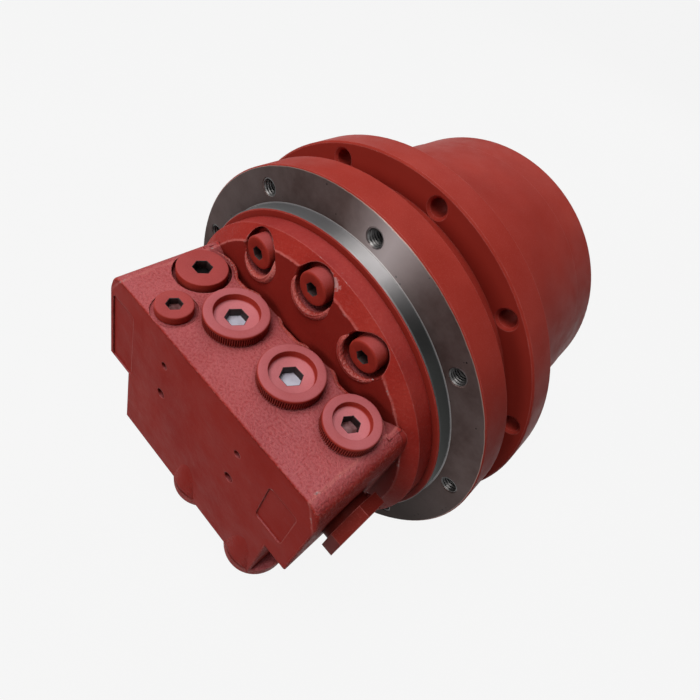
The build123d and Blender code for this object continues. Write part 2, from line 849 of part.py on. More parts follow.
# Hexagon caps at both ends of the counterbalance bore
with BuildPart() as spool_caps:
    for side in (-1, 1):
        with BuildSketch(sideways(side * head_side_x)):
            with Locations((spool_y, spool_z)):
                Circle(cap_thread_r + cap_collar_w)
        extrude(amount=side * cap_collar_t)
        with BuildSketch(sideways(side * (head_side_x + cap_collar_t))):
            with Locations((spool_y, spool_z)):
                RegularPolygon(cap_hex_r, 6, major_radius=False, rotation=30)
        extrude(amount=side * cap_hex_t)
        with BuildSketch(sideways(side * head_side_x)):
            with Locations((spool_y, spool_z)):
                Circle(cap_thread_r - running)
        extrude(amount=side * (thread_end_gap - cap_thread_l))
        with BuildSketch(sideways(side * (head_side_x - cap_thread_l))):
            with Locations((spool_y, spool_z)):
                Circle(cap_bore_r)
        extrude(amount=side * (cap_thread_l + cap_bore_l), mode=Mode.SUBTRACT)
spool_caps.part.label = "spool_caps"
export_step(spool_caps.part, "parts/spool_caps.step")

# Counterbalance spool with its centring springs
with BuildPart() as counterbalance_spool:
    with BuildSketch(sideways(-spool_half)):
        with Locations((spool_y, spool_z)):
            Circle(spool_r)
    extrude(amount=2 * spool_half)
    for start in (spool_land_l - spool_half, spool_half - spool_land_l - spool_groove_l):
        with BuildSketch(sideways(start)):
            with Locations((spool_y, spool_z)):
                Circle(spool_r + edge)
                Circle(spool_neck_r, mode=Mode.SUBTRACT)
        extrude(amount=spool_groove_l, mode=Mode.SUBTRACT)
counterbalance_spool.part.label = "counterbalance_spool"
export_step(counterbalance_spool.part, "parts/counterbalance_spool.step")

spring_start = spool_half + spool_wire_r + running
spring_l = head_side_x + cap_bore_l - cap_bore_stop - spring_start
with BuildPart() as spool_springs:
    for side in (-1, 1):
        with BuildLine() as coil:
            Helix(
                pitch=spool_spring_pitch,
                height=spring_l,
                radius=spool_spring_r,
                center=(side * spring_start, spool_y, spool_z),
                direction=(side, 0, 0),
            )
        with BuildSketch(Plane(origin=coil.line @ 0, z_dir=coil.line % 0)):
            Circle(spool_wire_r)
        sweep(path=coil.line)
spool_springs.part.label = "spool_springs"
export_step(spool_springs.part, "parts/spool_springs.step")

# Cross-over relief cartridges under the knurled plugs
with BuildPart() as relief_valves:
    with BuildSketch(upright(valve_top_z - relief_valve_l)):
        with Locations(*relief_plug_at):
            Circle(relief_bore_r - running)
    extrude(amount=relief_valve_l)
    with BuildSketch(upright(valve_top_z - relief_valve_l + relief_groove_l)):
        with Locations(*relief_plug_at):
            Circle(relief_bore_r)
            Circle(relief_neck_r, mode=Mode.SUBTRACT)
    extrude(amount=relief_groove_l, mode=Mode.SUBTRACT)
    with BuildSketch(upright(valve_top_z - relief_valve_l)):
        with Locations(*relief_plug_at):
            Circle(relief_nose_r)
    extrude(amount=-relief_nose_l)
relief_valves.part.label = "relief_valves"
export_step(relief_valves.part, "parts/relief_valves.step")

# Speed-change spool with its return spring
with BuildPart() as speed_spool:
    with BuildSketch(upright(valve_top_z - speed_spool_l)):
        with Locations(speed_plug_at):
            Circle(speed_spool_r)
    extrude(amount=speed_spool_l)
    with BuildSketch(upright(valve_top_z - speed_spool_l + speed_groove_l)):
        with Locations(speed_plug_at):
            Circle(speed_spool_r + edge)
            Circle(speed_spool_neck_r, mode=Mode.SUBTRACT)
    extrude(amount=speed_groove_l, mode=Mode.SUBTRACT)
speed_spool.part.label = "speed_spool"
export_step(speed_spool.part, "parts/speed_spool.step")

with BuildPart() as speed_spring:
    with BuildLine() as coil:
        Helix(
            pitch=speed_spring_pitch,
            height=speed_spring_l,
            radius=speed_spring_r,
            center=(*speed_plug_at, valve_top_z + speed_wire_r + running),
        )
    with BuildSketch(Plane(origin=coil.line @ 0, z_dir=coil.line % 0)):
        Circle(speed_wire_r)
    sweep(path=coil.line)
speed_spring.part.label = "speed_spring"
export_step(speed_spring.part, "parts/speed_spring.step")

# Motor rotor
with BuildPart() as rear_bush:
    with BuildSketch(across(-frame_pilot_l - shaft_tail + bush_end_gap)):
        Circle(rear_bush_r - press)
        Circle(rear_journal_r + running, mode=Mode.SUBTRACT)
    extrude(amount=rear_bush_l)
rear_bush.part.label = "rear_bush"
export_step(rear_bush.part, "parts/rear_bush.step")

with BuildPart() as valve_plate:
    with BuildSketch(across(-frame_pilot_l)):
        Circle(block_r - edge)
        Circle(rear_bush_r, mode=Mode.SUBTRACT)
        with BuildLine():
            for turn in (90, 270):
                CenterArc((0, 0), piston_pitch + kidney_r, turn - kidney_sweep, 2 * kidney_sweep)
                CenterArc((0, 0), piston_pitch - kidney_r, turn - kidney_sweep, 2 * kidney_sweep)
                for end in (turn - kidney_sweep, turn + kidney_sweep):
                    Line(polar(piston_pitch - kidney_r, end), polar(piston_pitch + kidney_r, end))
        make_face(mode=Mode.SUBTRACT)
    extrude(amount=valve_plate_t - running)
valve_plate.part.label = "valve_plate"
export_step(valve_plate.part, "parts/valve_plate.step")

with BuildPart() as motor_shaft:
    with BuildSketch(Plane.XY):
        with BuildLine():
            Polyline(
                (0, -frame_pilot_l - shaft_tail),
                (rear_journal_r, -frame_pilot_l - shaft_tail),
                (rear_journal_r, edge - frame_pilot_l),
                (shaft_r, edge - frame_pilot_l),
                (shaft_r, swash_y - lip_overlap_gap),
                (shaft_collar_r, swash_y - lip_overlap_gap),
                (shaft_collar_r, spindle_wall_y + edge),
                (front_journal_r, spindle_wall_y + edge),
                (front_journal_r, seal_seat_y + end_play),
                (shaft_collar_r, seal_seat_y + end_play),
                (shaft_collar_r, spindle_end_y + end_play),
                (0, spindle_end_y + end_play),
                close=True,
            )
        make_face()
    revolve(axis=Axis.Y)
    with BuildSketch(across(spindle_end_y + edge - spline_l - 2 * edge)):
        add(spline_hole)
    extrude(amount=spline_l + 2 * edge, mode=Mode.SUBTRACT)
motor_shaft.part.label = "motor_shaft"
export_step(motor_shaft.part, "parts/motor_shaft.step")

with BuildPart() as cylinder_block:
    with BuildSketch(across(block_start_y)):
        Circle(block_r)
        Circle(shaft_r + press, mode=Mode.SUBTRACT)
    extrude(amount=block_end_y - block_start_y)
    with BuildSketch(across(block_end_y)):
        with PolarLocations(piston_pitch, piston_count):
            Circle(piston_r + running)
    extrude(amount=block_start_y + port_slot_l - block_end_y, mode=Mode.SUBTRACT)
    with BuildSketch(across(block_start_y)):
        with PolarLocations(piston_pitch, piston_count):
            Circle(kidney_r)
    extrude(amount=port_slot_l + edge, mode=Mode.SUBTRACT)
cylinder_block.part.label = "cylinder_block"
export_step(cylinder_block.part, "parts/cylinder_block.step")

with BuildPart() as pistons:
    with BuildSketch(across(block_start_y + port_slot_l + piston_room)):
        with PolarLocations(piston_pitch, piston_count):
            Circle(piston_r)
    extrude(amount=piston_end_y - block_start_y - port_slot_l - piston_room)
    with BuildSketch(across(piston_end_y)):
        with PolarLocations(piston_pitch, piston_count):
            Circle(piston_neck_r)
    extrude(amount=shoe_y - piston_end_y)
pistons.part.label = "pistons"
export_step(pistons.part, "parts/pistons.step")

with BuildPart() as piston_shoes:
    with BuildSketch(across(shoe_y)):
        with PolarLocations(piston_pitch, piston_count):
            Circle(shoe_neck_r)
    extrude(amount=shoe_neck_l)
    with BuildSketch(across(shoe_y + shoe_neck_l)):
        with PolarLocations(piston_pitch, piston_count):
            Circle(shoe_r)
    extrude(amount=shoe_t)
piston_shoes.part.label = "piston_shoes"
export_step(piston_shoes.part, "parts/piston_shoes.step")

with BuildPart() as shoe_retainer:
    with BuildSketch(across(shoe_y + shoe_neck_l - retainer_t - 2 * running)):
        Circle(piston_pitch + shoe_r + 2 * edge)
        Circle(shaft_r + 2 * running, mode=Mode.SUBTRACT)
        with PolarLocations(piston_pitch, piston_count):
            Circle(shoe_neck_r + 2 * running, mode=Mode.SUBTRACT)
    extrude(amount=retainer_t)
shoe_retainer.part.label = "shoe_retainer"
export_step(shoe_retainer.part, "parts/shoe_retainer.step")

# Swash plate on two pivots, with its speed piston
lean = (0, cos(radians(swash_angle)), sin(radians(swash_angle)))
with BuildPart() as swash_plate:
    with BuildSketch(Plane(origin=(0, swash_y, 0), x_dir=(1, 0, 0), z_dir=lean)):
        Circle(swash_r)
        Circle(swash_hole_r, mode=Mode.SUBTRACT)
    extrude(amount=swash_t)
    with Locations((swash_pivot_x, swash_pivot_y, 0), (-swash_pivot_x, swash_pivot_y, 0)):
        Sphere(pivot_ball_r + clear, mode=Mode.SUBTRACT)
swash_plate.part.label = "swash_plate"
export_step(swash_plate.part, "parts/swash_plate.step")

with BuildPart() as swash_pivots:
    with Locations((swash_pivot_x, swash_pivot_y, 0), (-swash_pivot_x, swash_pivot_y, 0)):
        Sphere(pivot_ball_r)
    with BuildSketch(across(spindle_wall_y)):
        Rectangle(4 * pivot_ball_r, 2 * swash_pivot_x + 4 * pivot_ball_r)
    extrude(amount=2 * pivot_ball_r, mode=Mode.SUBTRACT)
    with BuildSketch(across(spindle_wall_y)):
        with Locations((0, swash_pivot_x), (0, -swash_pivot_x)):
            Circle(pivot_stem_r - press)
    extrude(amount=pivot_stem_l - race_gap)
swash_pivots.part.label = "swash_pivots"
export_step(swash_pivots.part, "parts/swash_pivots.step")

with BuildPart() as speed_piston:
    with BuildSketch(across(spindle_wall_y)):
        with Locations((speed_piston_z, 0)):
            Circle(speed_piston_r)
    extrude(amount=speed_piston_l)
    with BuildSketch(across(spindle_wall_y)):
        with Locations((speed_piston_z, 0)):
            Circle(speed_nose_r)
    extrude(amount=-speed_nose_l)
speed_piston.part.label = "speed_piston"
export_step(speed_piston.part, "parts/speed_piston.step")

# Parking brake
with BuildPart() as brake_piston:
    with BuildSketch(across(brake_piston_y)):
        Circle(rotor_bore_r - running)
        Circle(block_r + brake_piston_in, mode=Mode.SUBTRACT)
    extrude(amount=brake_piston_end_y - brake_piston_y)
brake_piston.part.label = "brake_piston"
export_step(brake_piston.part, "parts/brake_piston.step")

spring_in_r = block_r + brake_piston_in + edge
spring_out_r = spring_in_r + brake_spring_w
with BuildPart() as brake_spring:
    with BuildSketch(Plane.XY):
        with BuildLine():
            Polyline(
                (spring_in_r, brake_piston_y - brake_spring_t - brake_spring_cone),
                (spring_out_r, brake_piston_y - brake_spring_t),
                (spring_out_r, brake_piston_y),
                (spring_in_r, brake_piston_y - brake_spring_cone),
                close=True,
            )
        make_face()
    revolve(axis=Axis.Y)
brake_spring.part.label = "brake_spring"
export_step(brake_spring.part, "parts/brake_spring.step")

with BuildPart() as brake_steel_plates:
    for start, thick in (
        (brake_piston_end_y + disc_gap, steel_t),
        (brake_piston_end_y + disc_gap + disc_step, steel_t),
        (backing_y, backing_t),
    ):
        with BuildSketch(across(start)):
            Circle(rotor_bore_r - running)
            Circle(block_r + plate_room, mode=Mode.SUBTRACT)
        extrude(amount=thick)
brake_steel_plates.part.label = "brake_steel_plates"
export_step(brake_steel_plates.part, "parts/brake_steel_plates.step")

with BuildPart() as brake_friction_discs:
    for step in (0, 1):
        with BuildSketch(across(brake_piston_end_y + steel_t + 2 * disc_gap + step * disc_step)):
            Circle(rotor_bore_r - disc_edge)
            Circle(block_r + press, mode=Mode.SUBTRACT)
        extrude(amount=friction_t)
brake_friction_discs.part.label = "brake_friction_discs"
export_step(brake_friction_discs.part, "parts/brake_friction_discs.step")

# Front shaft bearing and seal
with BuildPart() as front_bearing_ring:
    with BuildSketch(across(front_seat_y)):
        Circle(front_seat_r - press)
        Circle(front_race_r, mode=Mode.SUBTRACT)
    extrude(amount=front_bearing_w)
front_bearing_ring.part.label = "front_bearing_ring"
export_step(front_bearing_ring.part, "parts/front_bearing_ring.step")

with BuildPart() as front_bearing_rollers:
    with BuildSketch(across(front_seat_y + edge)):
        with PolarLocations(front_roller_pitch, front_roller_count):
            Circle(front_roller_r)
    extrude(amount=front_bearing_w - 3 * edge)
front_bearing_rollers.part.label = "front_bearing_rollers"
export_step(front_bearing_rollers.part, "parts/front_bearing_rollers.step")

with BuildPart() as shaft_seal:
    with BuildSketch(across(spindle_end_y - edge - shaft_seal_t)):
        Circle(seal_seat_r - press)
        Circle(shaft_collar_r + clear, mode=Mode.SUBTRACT)
    extrude(amount=shaft_seal_t)
shaft_seal.part.label = "shaft_seal"
export_step(shaft_seal.part, "parts/shaft_seal.step")

# Main bearings between spindle and drum
with BuildPart() as main_bearing_inner_rings:
    with BuildSketch(Plane.XY):
        for y in bearing_ys:
            with BuildLine():
                Polyline(
                    (spindle_r + press, y),
                    (inner_race_r + rib_h, y),
                    (inner_race_r + rib_h, y + rib_w),
                    (inner_race_r, y + rib_w),
                    (inner_race_r, y + bearing_w - rib_w),
                    (inner_race_r + rib_h, y + bearing_w - rib_w),
                    (inner_race_r + rib_h, y + bearing_w),
                    (spindle_r + press, y + bearing_w),
                    close=True,
                )
            make_face()
    revolve(axis=Axis.Y)
main_bearing_inner_rings.part.label = "main_bearing_inner_rings"
export_step(main_bearing_inner_rings.part, "parts/main_bearing_inner_rings.step")

with BuildPart() as main_bearing_outer_rings:
    with BuildSketch(Plane.XY):
        for y in bearing_ys:
            with BuildLine():
                Polyline(
                    (bearing_out_r - press, y),
                    (outer_race_r - rib_h, y),
                    (outer_race_r - rib_h, y + rib_w),
                    (outer_race_r, y + rib_w),
                    (outer_race_r, y + bearing_w - rib_w),
                    (outer_race_r - rib_h, y + bearing_w - rib_w),
                    (outer_race_r - rib_h, y + bearing_w),
                    (bearing_out_r - press, y + bearing_w),
                    close=True,
                )
            make_face()
    revolve(axis=Axis.Y)
main_bearing_outer_rings.part.label = "main_bearing_outer_rings"
export_step(main_bearing_outer_rings.part, "parts/main_bearing_outer_rings.step")

with BuildPart() as main_bearing_rollers:
    for y in bearing_ys:
        with BuildSketch(across(y + rib_w + clear)):
            with PolarLocations(roller_pitch_r, roller_count):
                Circle(roller_r)
        extrude(amount=bearing_w - 2 * rib_w - 2 * clear)
main_bearing_rollers.part.label = "main_bearing_rollers"
export_step(main_bearing_rollers.part, "parts/main_bearing_rollers.step")

with BuildPart() as main_bearing_cages:
    for y in bearing_ys:
        with BuildSketch(across(y + rib_w + race_gap / 2 - cage_rim)):
            Circle(roller_pitch_r + cage_t / 2)
            Circle(roller_pitch_r - cage_t / 2, mode=Mode.SUBTRACT)
        extrude(amount=bearing_w - 2 * rib_w - race_gap + 2 * cage_rim)
        with BuildSketch(across(y + rib_w + race_gap / 2)):
            with PolarLocations(roller_pitch_r, roller_count):
                Circle(roller_r + race_gap)
        extrude(amount=bearing_w - 2 * rib_w - race_gap, mode=Mode.SUBTRACT)
main_bearing_cages.part.label = "main_bearing_cages"
export_step(main_bearing_cages.part, "parts/main_bearing_cages.step")

with BuildPart() as bearing_nut:
    with BuildSketch(across(nut_y)):
        Circle(spindle_r + nut_h)
        with PolarLocations(spindle_r + nut_h, nut_slots):
            Rectangle(nut_slot_w, nut_slot_w, mode=Mode.SUBTRACT)
        Circle(spindle_r + press, mode=Mode.SUBTRACT)
    extrude(amount=nut_w)
bearing_nut.part.label = "bearing_nut"
export_step(bearing_nut.part, "parts/bearing_nut.step")

# Floating face seal: two hard rings that meet on one face, each on its own rubber ring
with BuildPart() as fixed_seal_ring:
    with BuildSketch(Plane.XY):
        with BuildLine():
            Polyline(
                (seal_in_r, seal_face_y - seal_ring_l),
                (seal_out_r - seal_slope, seal_face_y - seal_ring_l),
                (seal_out_r, seal_face_y - seal_ring_l + seal_slope),
                (seal_out_r, seal_face_y - running),
                (seal_in_r, seal_face_y - running),
                close=True,
            )
        make_face()
    revolve(axis=Axis.Y)
fixed_seal_ring.part.label = "fixed_seal_ring"
export_step(fixed_seal_ring.part, "parts/fixed_seal_ring.step")

with BuildPart() as turning_seal_ring:
    with BuildSketch(Plane.XY):
        with BuildLine():
            Polyline(
                (seal_in_r, seal_face_y + seal_ring_l),
                (seal_out_r - seal_slope, seal_face_y + seal_ring_l),
                (seal_out_r, seal_face_y + seal_ring_l - seal_slope),
                (seal_out_r, seal_face_y + running),
                (seal_in_r, seal_face_y + running),
                close=True,
            )
        make_face()
    revolve(axis=Axis.Y)
turning_seal_ring.part.label = "turning_seal_ring"
export_step(turning_seal_ring.part, "parts/turning_seal_ring.step")

with BuildPart() as fixed_seal_toric:
    with BuildSketch(Plane.XY):
        with Locations((toric_pitch_r, seal_face_y - toric_back)):
            Circle(toric_r)
    revolve(axis=Axis.Y)
fixed_seal_toric.part.label = "fixed_seal_toric"
export_step(fixed_seal_toric.part, "parts/fixed_seal_toric.step")

with BuildPart() as turning_seal_toric:
    with BuildSketch(Plane.XY):
        with Locations((toric_pitch_r, seal_face_y + toric_back)):
            Circle(toric_r)
    revolve(axis=Axis.Y)
turning_seal_toric.part.label = "turning_seal_toric"
export_step(turning_seal_toric.part, "parts/turning_seal_toric.step")

# Turning drum with the sprocket flange
sprocket_face_y = sprocket_flange_y + sprocket_flange_t
with BuildPart() as hub:
    with BuildSketch(Plane.XY):
        with BuildLine():
            Polyline(
                (seal_pocket_r, hub_floor_y),
                (seal_pocket_r, seal_face_y + lip_overlap_gap),
                (hub_lip_in_r, seal_face_y + lip_overlap_gap),
                (hub_lip_in_r, hub_lip_y),
                (hub_lip_out_r, hub_lip_y),
                (hub_lip_out_r, sprocket_flange_y),
                (sprocket_flange_r - edge, sprocket_flange_y),
                (sprocket_flange_r, sprocket_flange_y + edge),
                (sprocket_flange_r, sprocket_face_y - edge),
                (sprocket_flange_r - edge, sprocket_face_y),
                (drum_neck_r, sprocket_face_y),
                (drum_neck_r, sprocket_face_y + sprocket_seat_l),
                (drum_seam_r, drum_seam_y),
                (drum_seam_r - edge / 2, drum_seam_y + edge / 2),
                (drum_end_r, drum_end_y),
                (ring_out_r + running, drum_end_y),
                (ring_out_r + running, groove_end_y),
                (ring_out_r + snap_groove, groove_end_y),
                (ring_out_r + snap_groove, snap_y - race_gap / 2),
                (ring_out_r + running, snap_y - race_gap / 2),
                (ring_out_r + running, spindle_end_y),
                (bearing_out_r, spindle_end_y),
                (bearing_out_r, rear_bearing_y),
                (bearing_out_r - hub_rib, rear_bearing_y),
                (bearing_out_r - hub_rib, front_bearing_y + bearing_w),
                (bearing_out_r, front_bearing_y + bearing_w),
                (bearing_out_r, front_bearing_y),
                (bearing_out_r - hub_shoulder, front_bearing_y),
                (bearing_out_r - hub_shoulder, hub_floor_y),
                close=True,
            )
        make_face()
    revolve(axis=Axis.Y)
    fillet(ring_edges(hub.part, drum_end_r, 1, drum_end_y), drum_end_round)
    with BuildSketch(across(sprocket_flange_y)):
        with PolarLocations(sprocket_bolt_r, sprocket_bolt_count, start_angle=sprocket_bolt_turn):
            Circle(tap_r)
    extrude(amount=sprocket_flange_t, mode=Mode.SUBTRACT)
    chamfer(ring_edges(hub.part, tap_r, 1, sprocket_flange_y), sprocket_mouth)
hub.part.label = "hub"
export_step(hub.part, "parts/hub.step")

with BuildPart() as ring_gear:
    with BuildSketch(across(ring_start_y)):
        Circle(ring_out_r)
        add(inside_gear(ring_teeth, 180 / ring_teeth), mode=Mode.SUBTRACT)
    extrude(amount=ring_end_y - ring_start_y)
ring_gear.part.label = "ring_gear"
export_step(ring_gear.part, "parts/ring_gear.step")

# Cover at the end of the drum, held by a snap ring
with BuildPart() as end_cover:
    with BuildSketch(across(cover_y)):
        Circle(ring_out_r)
    extrude(amount=cover_t)
    with BuildSketch(across(cover_y + cover_seal_groove_y)):
        Circle(ring_out_r + edge)
        Circle(ring_out_r - cover_seal_groove_t, mode=Mode.SUBTRACT)
    extrude(amount=cover_seal_groove_w, mode=Mode.SUBTRACT)
    with BuildSketch(across(cover_y)):
        Circle(button_r)
    extrude(amount=button_seat_l, mode=Mode.SUBTRACT)
    with BuildSketch(across(cover_y)):
        for turn in oil_plug_turns:
            with Locations(polar(oil_plug_pitch, turn)):
                Circle(oil_thread_r)
    extrude(amount=cover_t, mode=Mode.SUBTRACT)
    with BuildSketch(across(cover_end_y)):
        Circle(cover_dome_r)
    extrude(amount=cover_dome_h, taper=cover_dome_taper)
end_cover.part.label = "end_cover"
export_step(end_cover.part, "parts/end_cover.step")

with BuildPart() as cover_o_ring:
    with BuildSketch(Plane.XY):
        with Locations((ring_out_r - cover_seal_r, cover_y + cover_seal_groove_y + cover_seal_groove_w / 2)):
            Circle(cover_seal_r)
    revolve(axis=Axis.Y)
cover_o_ring.part.label = "cover_o_ring"
export_step(cover_o_ring.part, "parts/cover_o_ring.step")

with BuildPart() as cover_snap_ring:
    with BuildSketch(across(snap_y)):
        Circle(ring_out_r + snap_groove - running)
        Circle(ring_out_r + snap_groove - running - snap_w, mode=Mode.SUBTRACT)
        with Locations((ring_out_r, 0)):
            Rectangle(3 * snap_w, snap_gap_w, mode=Mode.SUBTRACT)
    extrude(amount=snap_t)
cover_snap_ring.part.label = "cover_snap_ring"
export_step(cover_snap_ring.part, "parts/cover_snap_ring.step")

with BuildPart() as oil_plugs:
    for turn in oil_plug_turns:
        with BuildSketch(across(cover_end_y)):
            with Locations(polar(oil_plug_pitch, turn)):
                Circle(oil_plug_r)
        extrude(amount=oil_plug_h)
        with BuildSketch(across(cover_end_y + oil_plug_h)):
            with Locations(polar(oil_plug_pitch, turn)):
                RegularPolygon(oil_plug_key_r, 6, major_radius=False)
        extrude(amount=-oil_plug_key_l, mode=Mode.SUBTRACT)
        with BuildSketch(across(cover_end_y)):
            with Locations(polar(oil_plug_pitch, turn)):
                Circle(oil_thread_r - running)
        extrude(amount=edge - cover_t)
oil_plugs.part.label = "oil_plugs"
export_step(oil_plugs.part, "parts/oil_plugs.step")

drive_end_y = first_y + first_w + edge
with BuildPart() as thrust_button:
    with BuildSketch(across(drive_end_y + clear)):
        Circle(button_r - press)
    extrude(amount=cover_y + button_seat_l - drive_end_y - clear)
thrust_button.part.label = "thrust_button"
export_step(thrust_button.part, "parts/thrust_button.step")

# Gear train
quill_y = spindle_end_y + edge
with BuildPart() as drive_gear:
    with BuildSketch(across(first_y - end_play)):
        add(outside_gear(sun_teeth, 0))
    extrude(amount=drive_end_y - first_y + end_play)
    with BuildSketch(across(quill_y)):
        Circle(quill_r)
    extrude(amount=first_y - end_play - quill_y)
    with BuildSketch(across(quill_y - spline_l)):
        add(spline_end)
    extrude(amount=spline_l)
drive_gear.part.label = "drive_gear"
export_step(drive_gear.part, "parts/drive_gear.step")

with BuildPart() as first_carrier:
    with BuildSketch(across(carrier_y)):
        Circle(carrier_r)
        with PolarLocations(planet_pitch, planet_count):
            Circle(first_pin_r, mode=Mode.SUBTRACT)
        with PolarLocations(carrier_window_pitch, planet_count, start_angle=180 / planet_count):
            Circle(carrier_window_r, mode=Mode.SUBTRACT)
        add(sun_socket, mode=Mode.SUBTRACT)
    extrude(amount=carrier_t)
first_carrier.part.label = "first_carrier"
export_step(first_carrier.part, "parts/first_carrier.step")

second_sun_y = second_y - end_play
with BuildPart() as second_sun_gear:
    with BuildSketch(across(second_sun_y)):
        add(outside_gear(sun_teeth, 0))
        Circle(sun_bore_r, mode=Mode.SUBTRACT)
    extrude(amount=carrier_y + carrier_t - second_sun_y)
second_sun_gear.part.label = "second_sun_gear"
export_step(second_sun_gear.part, "parts/second_sun_gear.step")

with BuildPart() as first_planet_pins:
    for start, radius, length in (
        (carrier_y, first_pin_r - press, first_y + first_w + pin_play + edge - carrier_y),
        (carrier_y + carrier_t, first_pin_r + pin_collar_w, pin_collar_t),
        (first_y + first_w + pin_play, first_pin_r + pin_head_w, pin_head_t),
    ):
        with BuildSketch(across(start)):
            with PolarLocations(planet_pitch, planet_count):
                Circle(radius)
        extrude(amount=length)
first_planet_pins.part.label = "first_planet_pins"
export_step(first_planet_pins.part, "parts/first_planet_pins.step")

second_pin_y = spindle_end_y - pin_grip
with BuildPart() as second_planet_pins:
    for start, radius, length in (
        (second_pin_y, second_pin_r - press, second_y + second_w + edge - second_pin_y),
        (spindle_end_y, second_pin_r + pin_collar_w, pin_collar_t),
        (second_y + second_w + pin_play, second_pin_r + pin_head_w, pin_head_t),
    ):
        with BuildSketch(across(start)):
            with PolarLocations(planet_pitch, planet_count):
                Circle(radius)
        extrude(amount=length)
second_planet_pins.part.label = "second_planet_pins"
export_step(second_planet_pins.part, "parts/second_planet_pins.step")

for number in range(1, planet_count + 1):
    turn = 360 / planet_count * (number - 1)
    with BuildPart() as first_planet:
        with BuildSketch(across(first_y)):
            with Locations(polar(planet_pitch, turn)):
                add(outside_gear(planet_teeth, turn - 180 / planet_teeth))
                Circle(first_pin_r + running, mode=Mode.SUBTRACT)
        extrude(amount=first_w)
    first_planet.part.label = f"first_planet_{number}"
    export_step(first_planet.part, f"parts/first_planet_{number}.step")
    with BuildPart() as second_planet:
        with BuildSketch(across(second_y)):
            with Locations(polar(planet_pitch, turn)):
                add(outside_gear(planet_teeth, turn - 180 / planet_teeth))
                Circle(second_pin_r + running, mode=Mode.SUBTRACT)
        extrude(amount=second_w)
    second_planet.part.label = f"second_planet_{number}"
    export_step(second_planet.part, f"parts/second_planet_{number}.step")
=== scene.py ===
import math
import bpy
import bmesh
from mathutils import Matrix, Vector


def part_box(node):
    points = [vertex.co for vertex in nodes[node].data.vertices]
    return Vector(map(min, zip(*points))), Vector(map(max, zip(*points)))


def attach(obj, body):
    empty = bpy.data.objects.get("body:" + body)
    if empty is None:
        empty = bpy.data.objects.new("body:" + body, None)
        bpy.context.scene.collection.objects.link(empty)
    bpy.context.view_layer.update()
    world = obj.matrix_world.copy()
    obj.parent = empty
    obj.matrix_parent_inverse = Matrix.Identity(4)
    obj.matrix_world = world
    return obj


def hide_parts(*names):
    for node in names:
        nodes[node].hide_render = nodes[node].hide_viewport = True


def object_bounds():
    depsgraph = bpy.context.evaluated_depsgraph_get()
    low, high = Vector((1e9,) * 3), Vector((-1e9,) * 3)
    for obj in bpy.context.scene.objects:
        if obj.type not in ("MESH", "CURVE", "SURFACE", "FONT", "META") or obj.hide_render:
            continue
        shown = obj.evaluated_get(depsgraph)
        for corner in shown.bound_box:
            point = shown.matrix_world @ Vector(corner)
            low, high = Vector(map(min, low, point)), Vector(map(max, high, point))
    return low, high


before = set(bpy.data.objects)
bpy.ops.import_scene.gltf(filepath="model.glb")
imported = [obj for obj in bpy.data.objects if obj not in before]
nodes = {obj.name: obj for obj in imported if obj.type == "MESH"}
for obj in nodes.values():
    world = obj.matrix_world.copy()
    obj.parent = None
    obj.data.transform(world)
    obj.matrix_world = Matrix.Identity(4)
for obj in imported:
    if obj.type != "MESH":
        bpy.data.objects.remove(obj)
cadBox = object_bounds()
print("frame loaded,", len(nodes), "nodes")

mm = 0.001


# small helpers for node trees
def newMaterial(name):
    mat = bpy.data.materials.new(name)
    mat.use_nodes = True
    tree = mat.node_tree
    tree.nodes.clear()
    out = tree.nodes.new("ShaderNodeOutputMaterial")
    shader = tree.nodes.new("ShaderNodeBsdfPrincipled")
    tree.links.new(shader.outputs[0], out.inputs[0])
    return mat, tree, shader


def plug(tree, socket, value):
    if isinstance(value, (int, float)):
        socket.default_value = value
    elif isinstance(value, tuple):
        socket.default_value = (*value, 1.0) if len(socket.default_value) == 4 else value
    elif value is not None:
        tree.links.new(value, socket)


def connect(tree, shader, **values):
    for name, value in values.items():
        plug(tree, shader.inputs[name.replace("_", " ")], value)


def coords(tree):
    return tree.nodes.new("ShaderNodeTexCoord").outputs["Object"]  # the part's own frame, in metres


def splitAxes(tree, vector):
    node = tree.nodes.new("ShaderNodeSeparateXYZ")
    tree.links.new(vector, node.inputs[0])
    return node.outputs


def facing(tree):
    return splitAxes(tree, tree.nodes.new("ShaderNodeTexCoord").outputs["Normal"])


def stretched(tree, vector, scale):
    node = tree.nodes.new("ShaderNodeMapping")
    node.inputs["Scale"].default_value = scale
    tree.links.new(vector, node.inputs["Vector"])
    return node.outputs[0]


def noise(tree, vector, scale, detail=3.0, rough=0.55):
    node = tree.nodes.new("ShaderNodeTexNoise")
    node.inputs["Scale"].default_value = scale
    node.inputs["Detail"].default_value = detail
    node.inputs["Roughness"].default_value = rough
    tree.links.new(vector, node.inputs["Vector"])
    return node.outputs["Fac"]


def pits(tree, vector, scale):
    node = tree.nodes.new("ShaderNodeTexVoronoi")
    node.inputs["Scale"].default_value = scale
    tree.links.new(vector, node.inputs["Vector"])
    return node.outputs["Distance"]


def ramp(tree, value, stops):
    node = tree.nodes.new("ShaderNodeValToRGB")
    band = node.color_ramp
    while len(band.elements) < len(stops):
        band.elements.new(0.5)
    for element, (place, colour) in zip(band.elements, stops):
        element.position = place
        element.color = (*colour, 1.0)
    tree.links.new(value, node.inputs[0])
    return node.outputs[0]


def remap(tree, value, low, high, toLow, toHigh):
    node = tree.nodes.new("ShaderNodeMapRange")
    for socket, number in zip(node.inputs[1:5], (low, high, toLow, toHigh)):
        socket.default_value = number
    tree.links.new(value, node.inputs[0])
    return node.outputs[0]


def rise(tree, value, low, high):
    return remap(tree, value, low, high, 0.0, 1.0)


def fall(tree, value, low, high):
    return remap(tree, value, low, high, 1.0, 0.0)


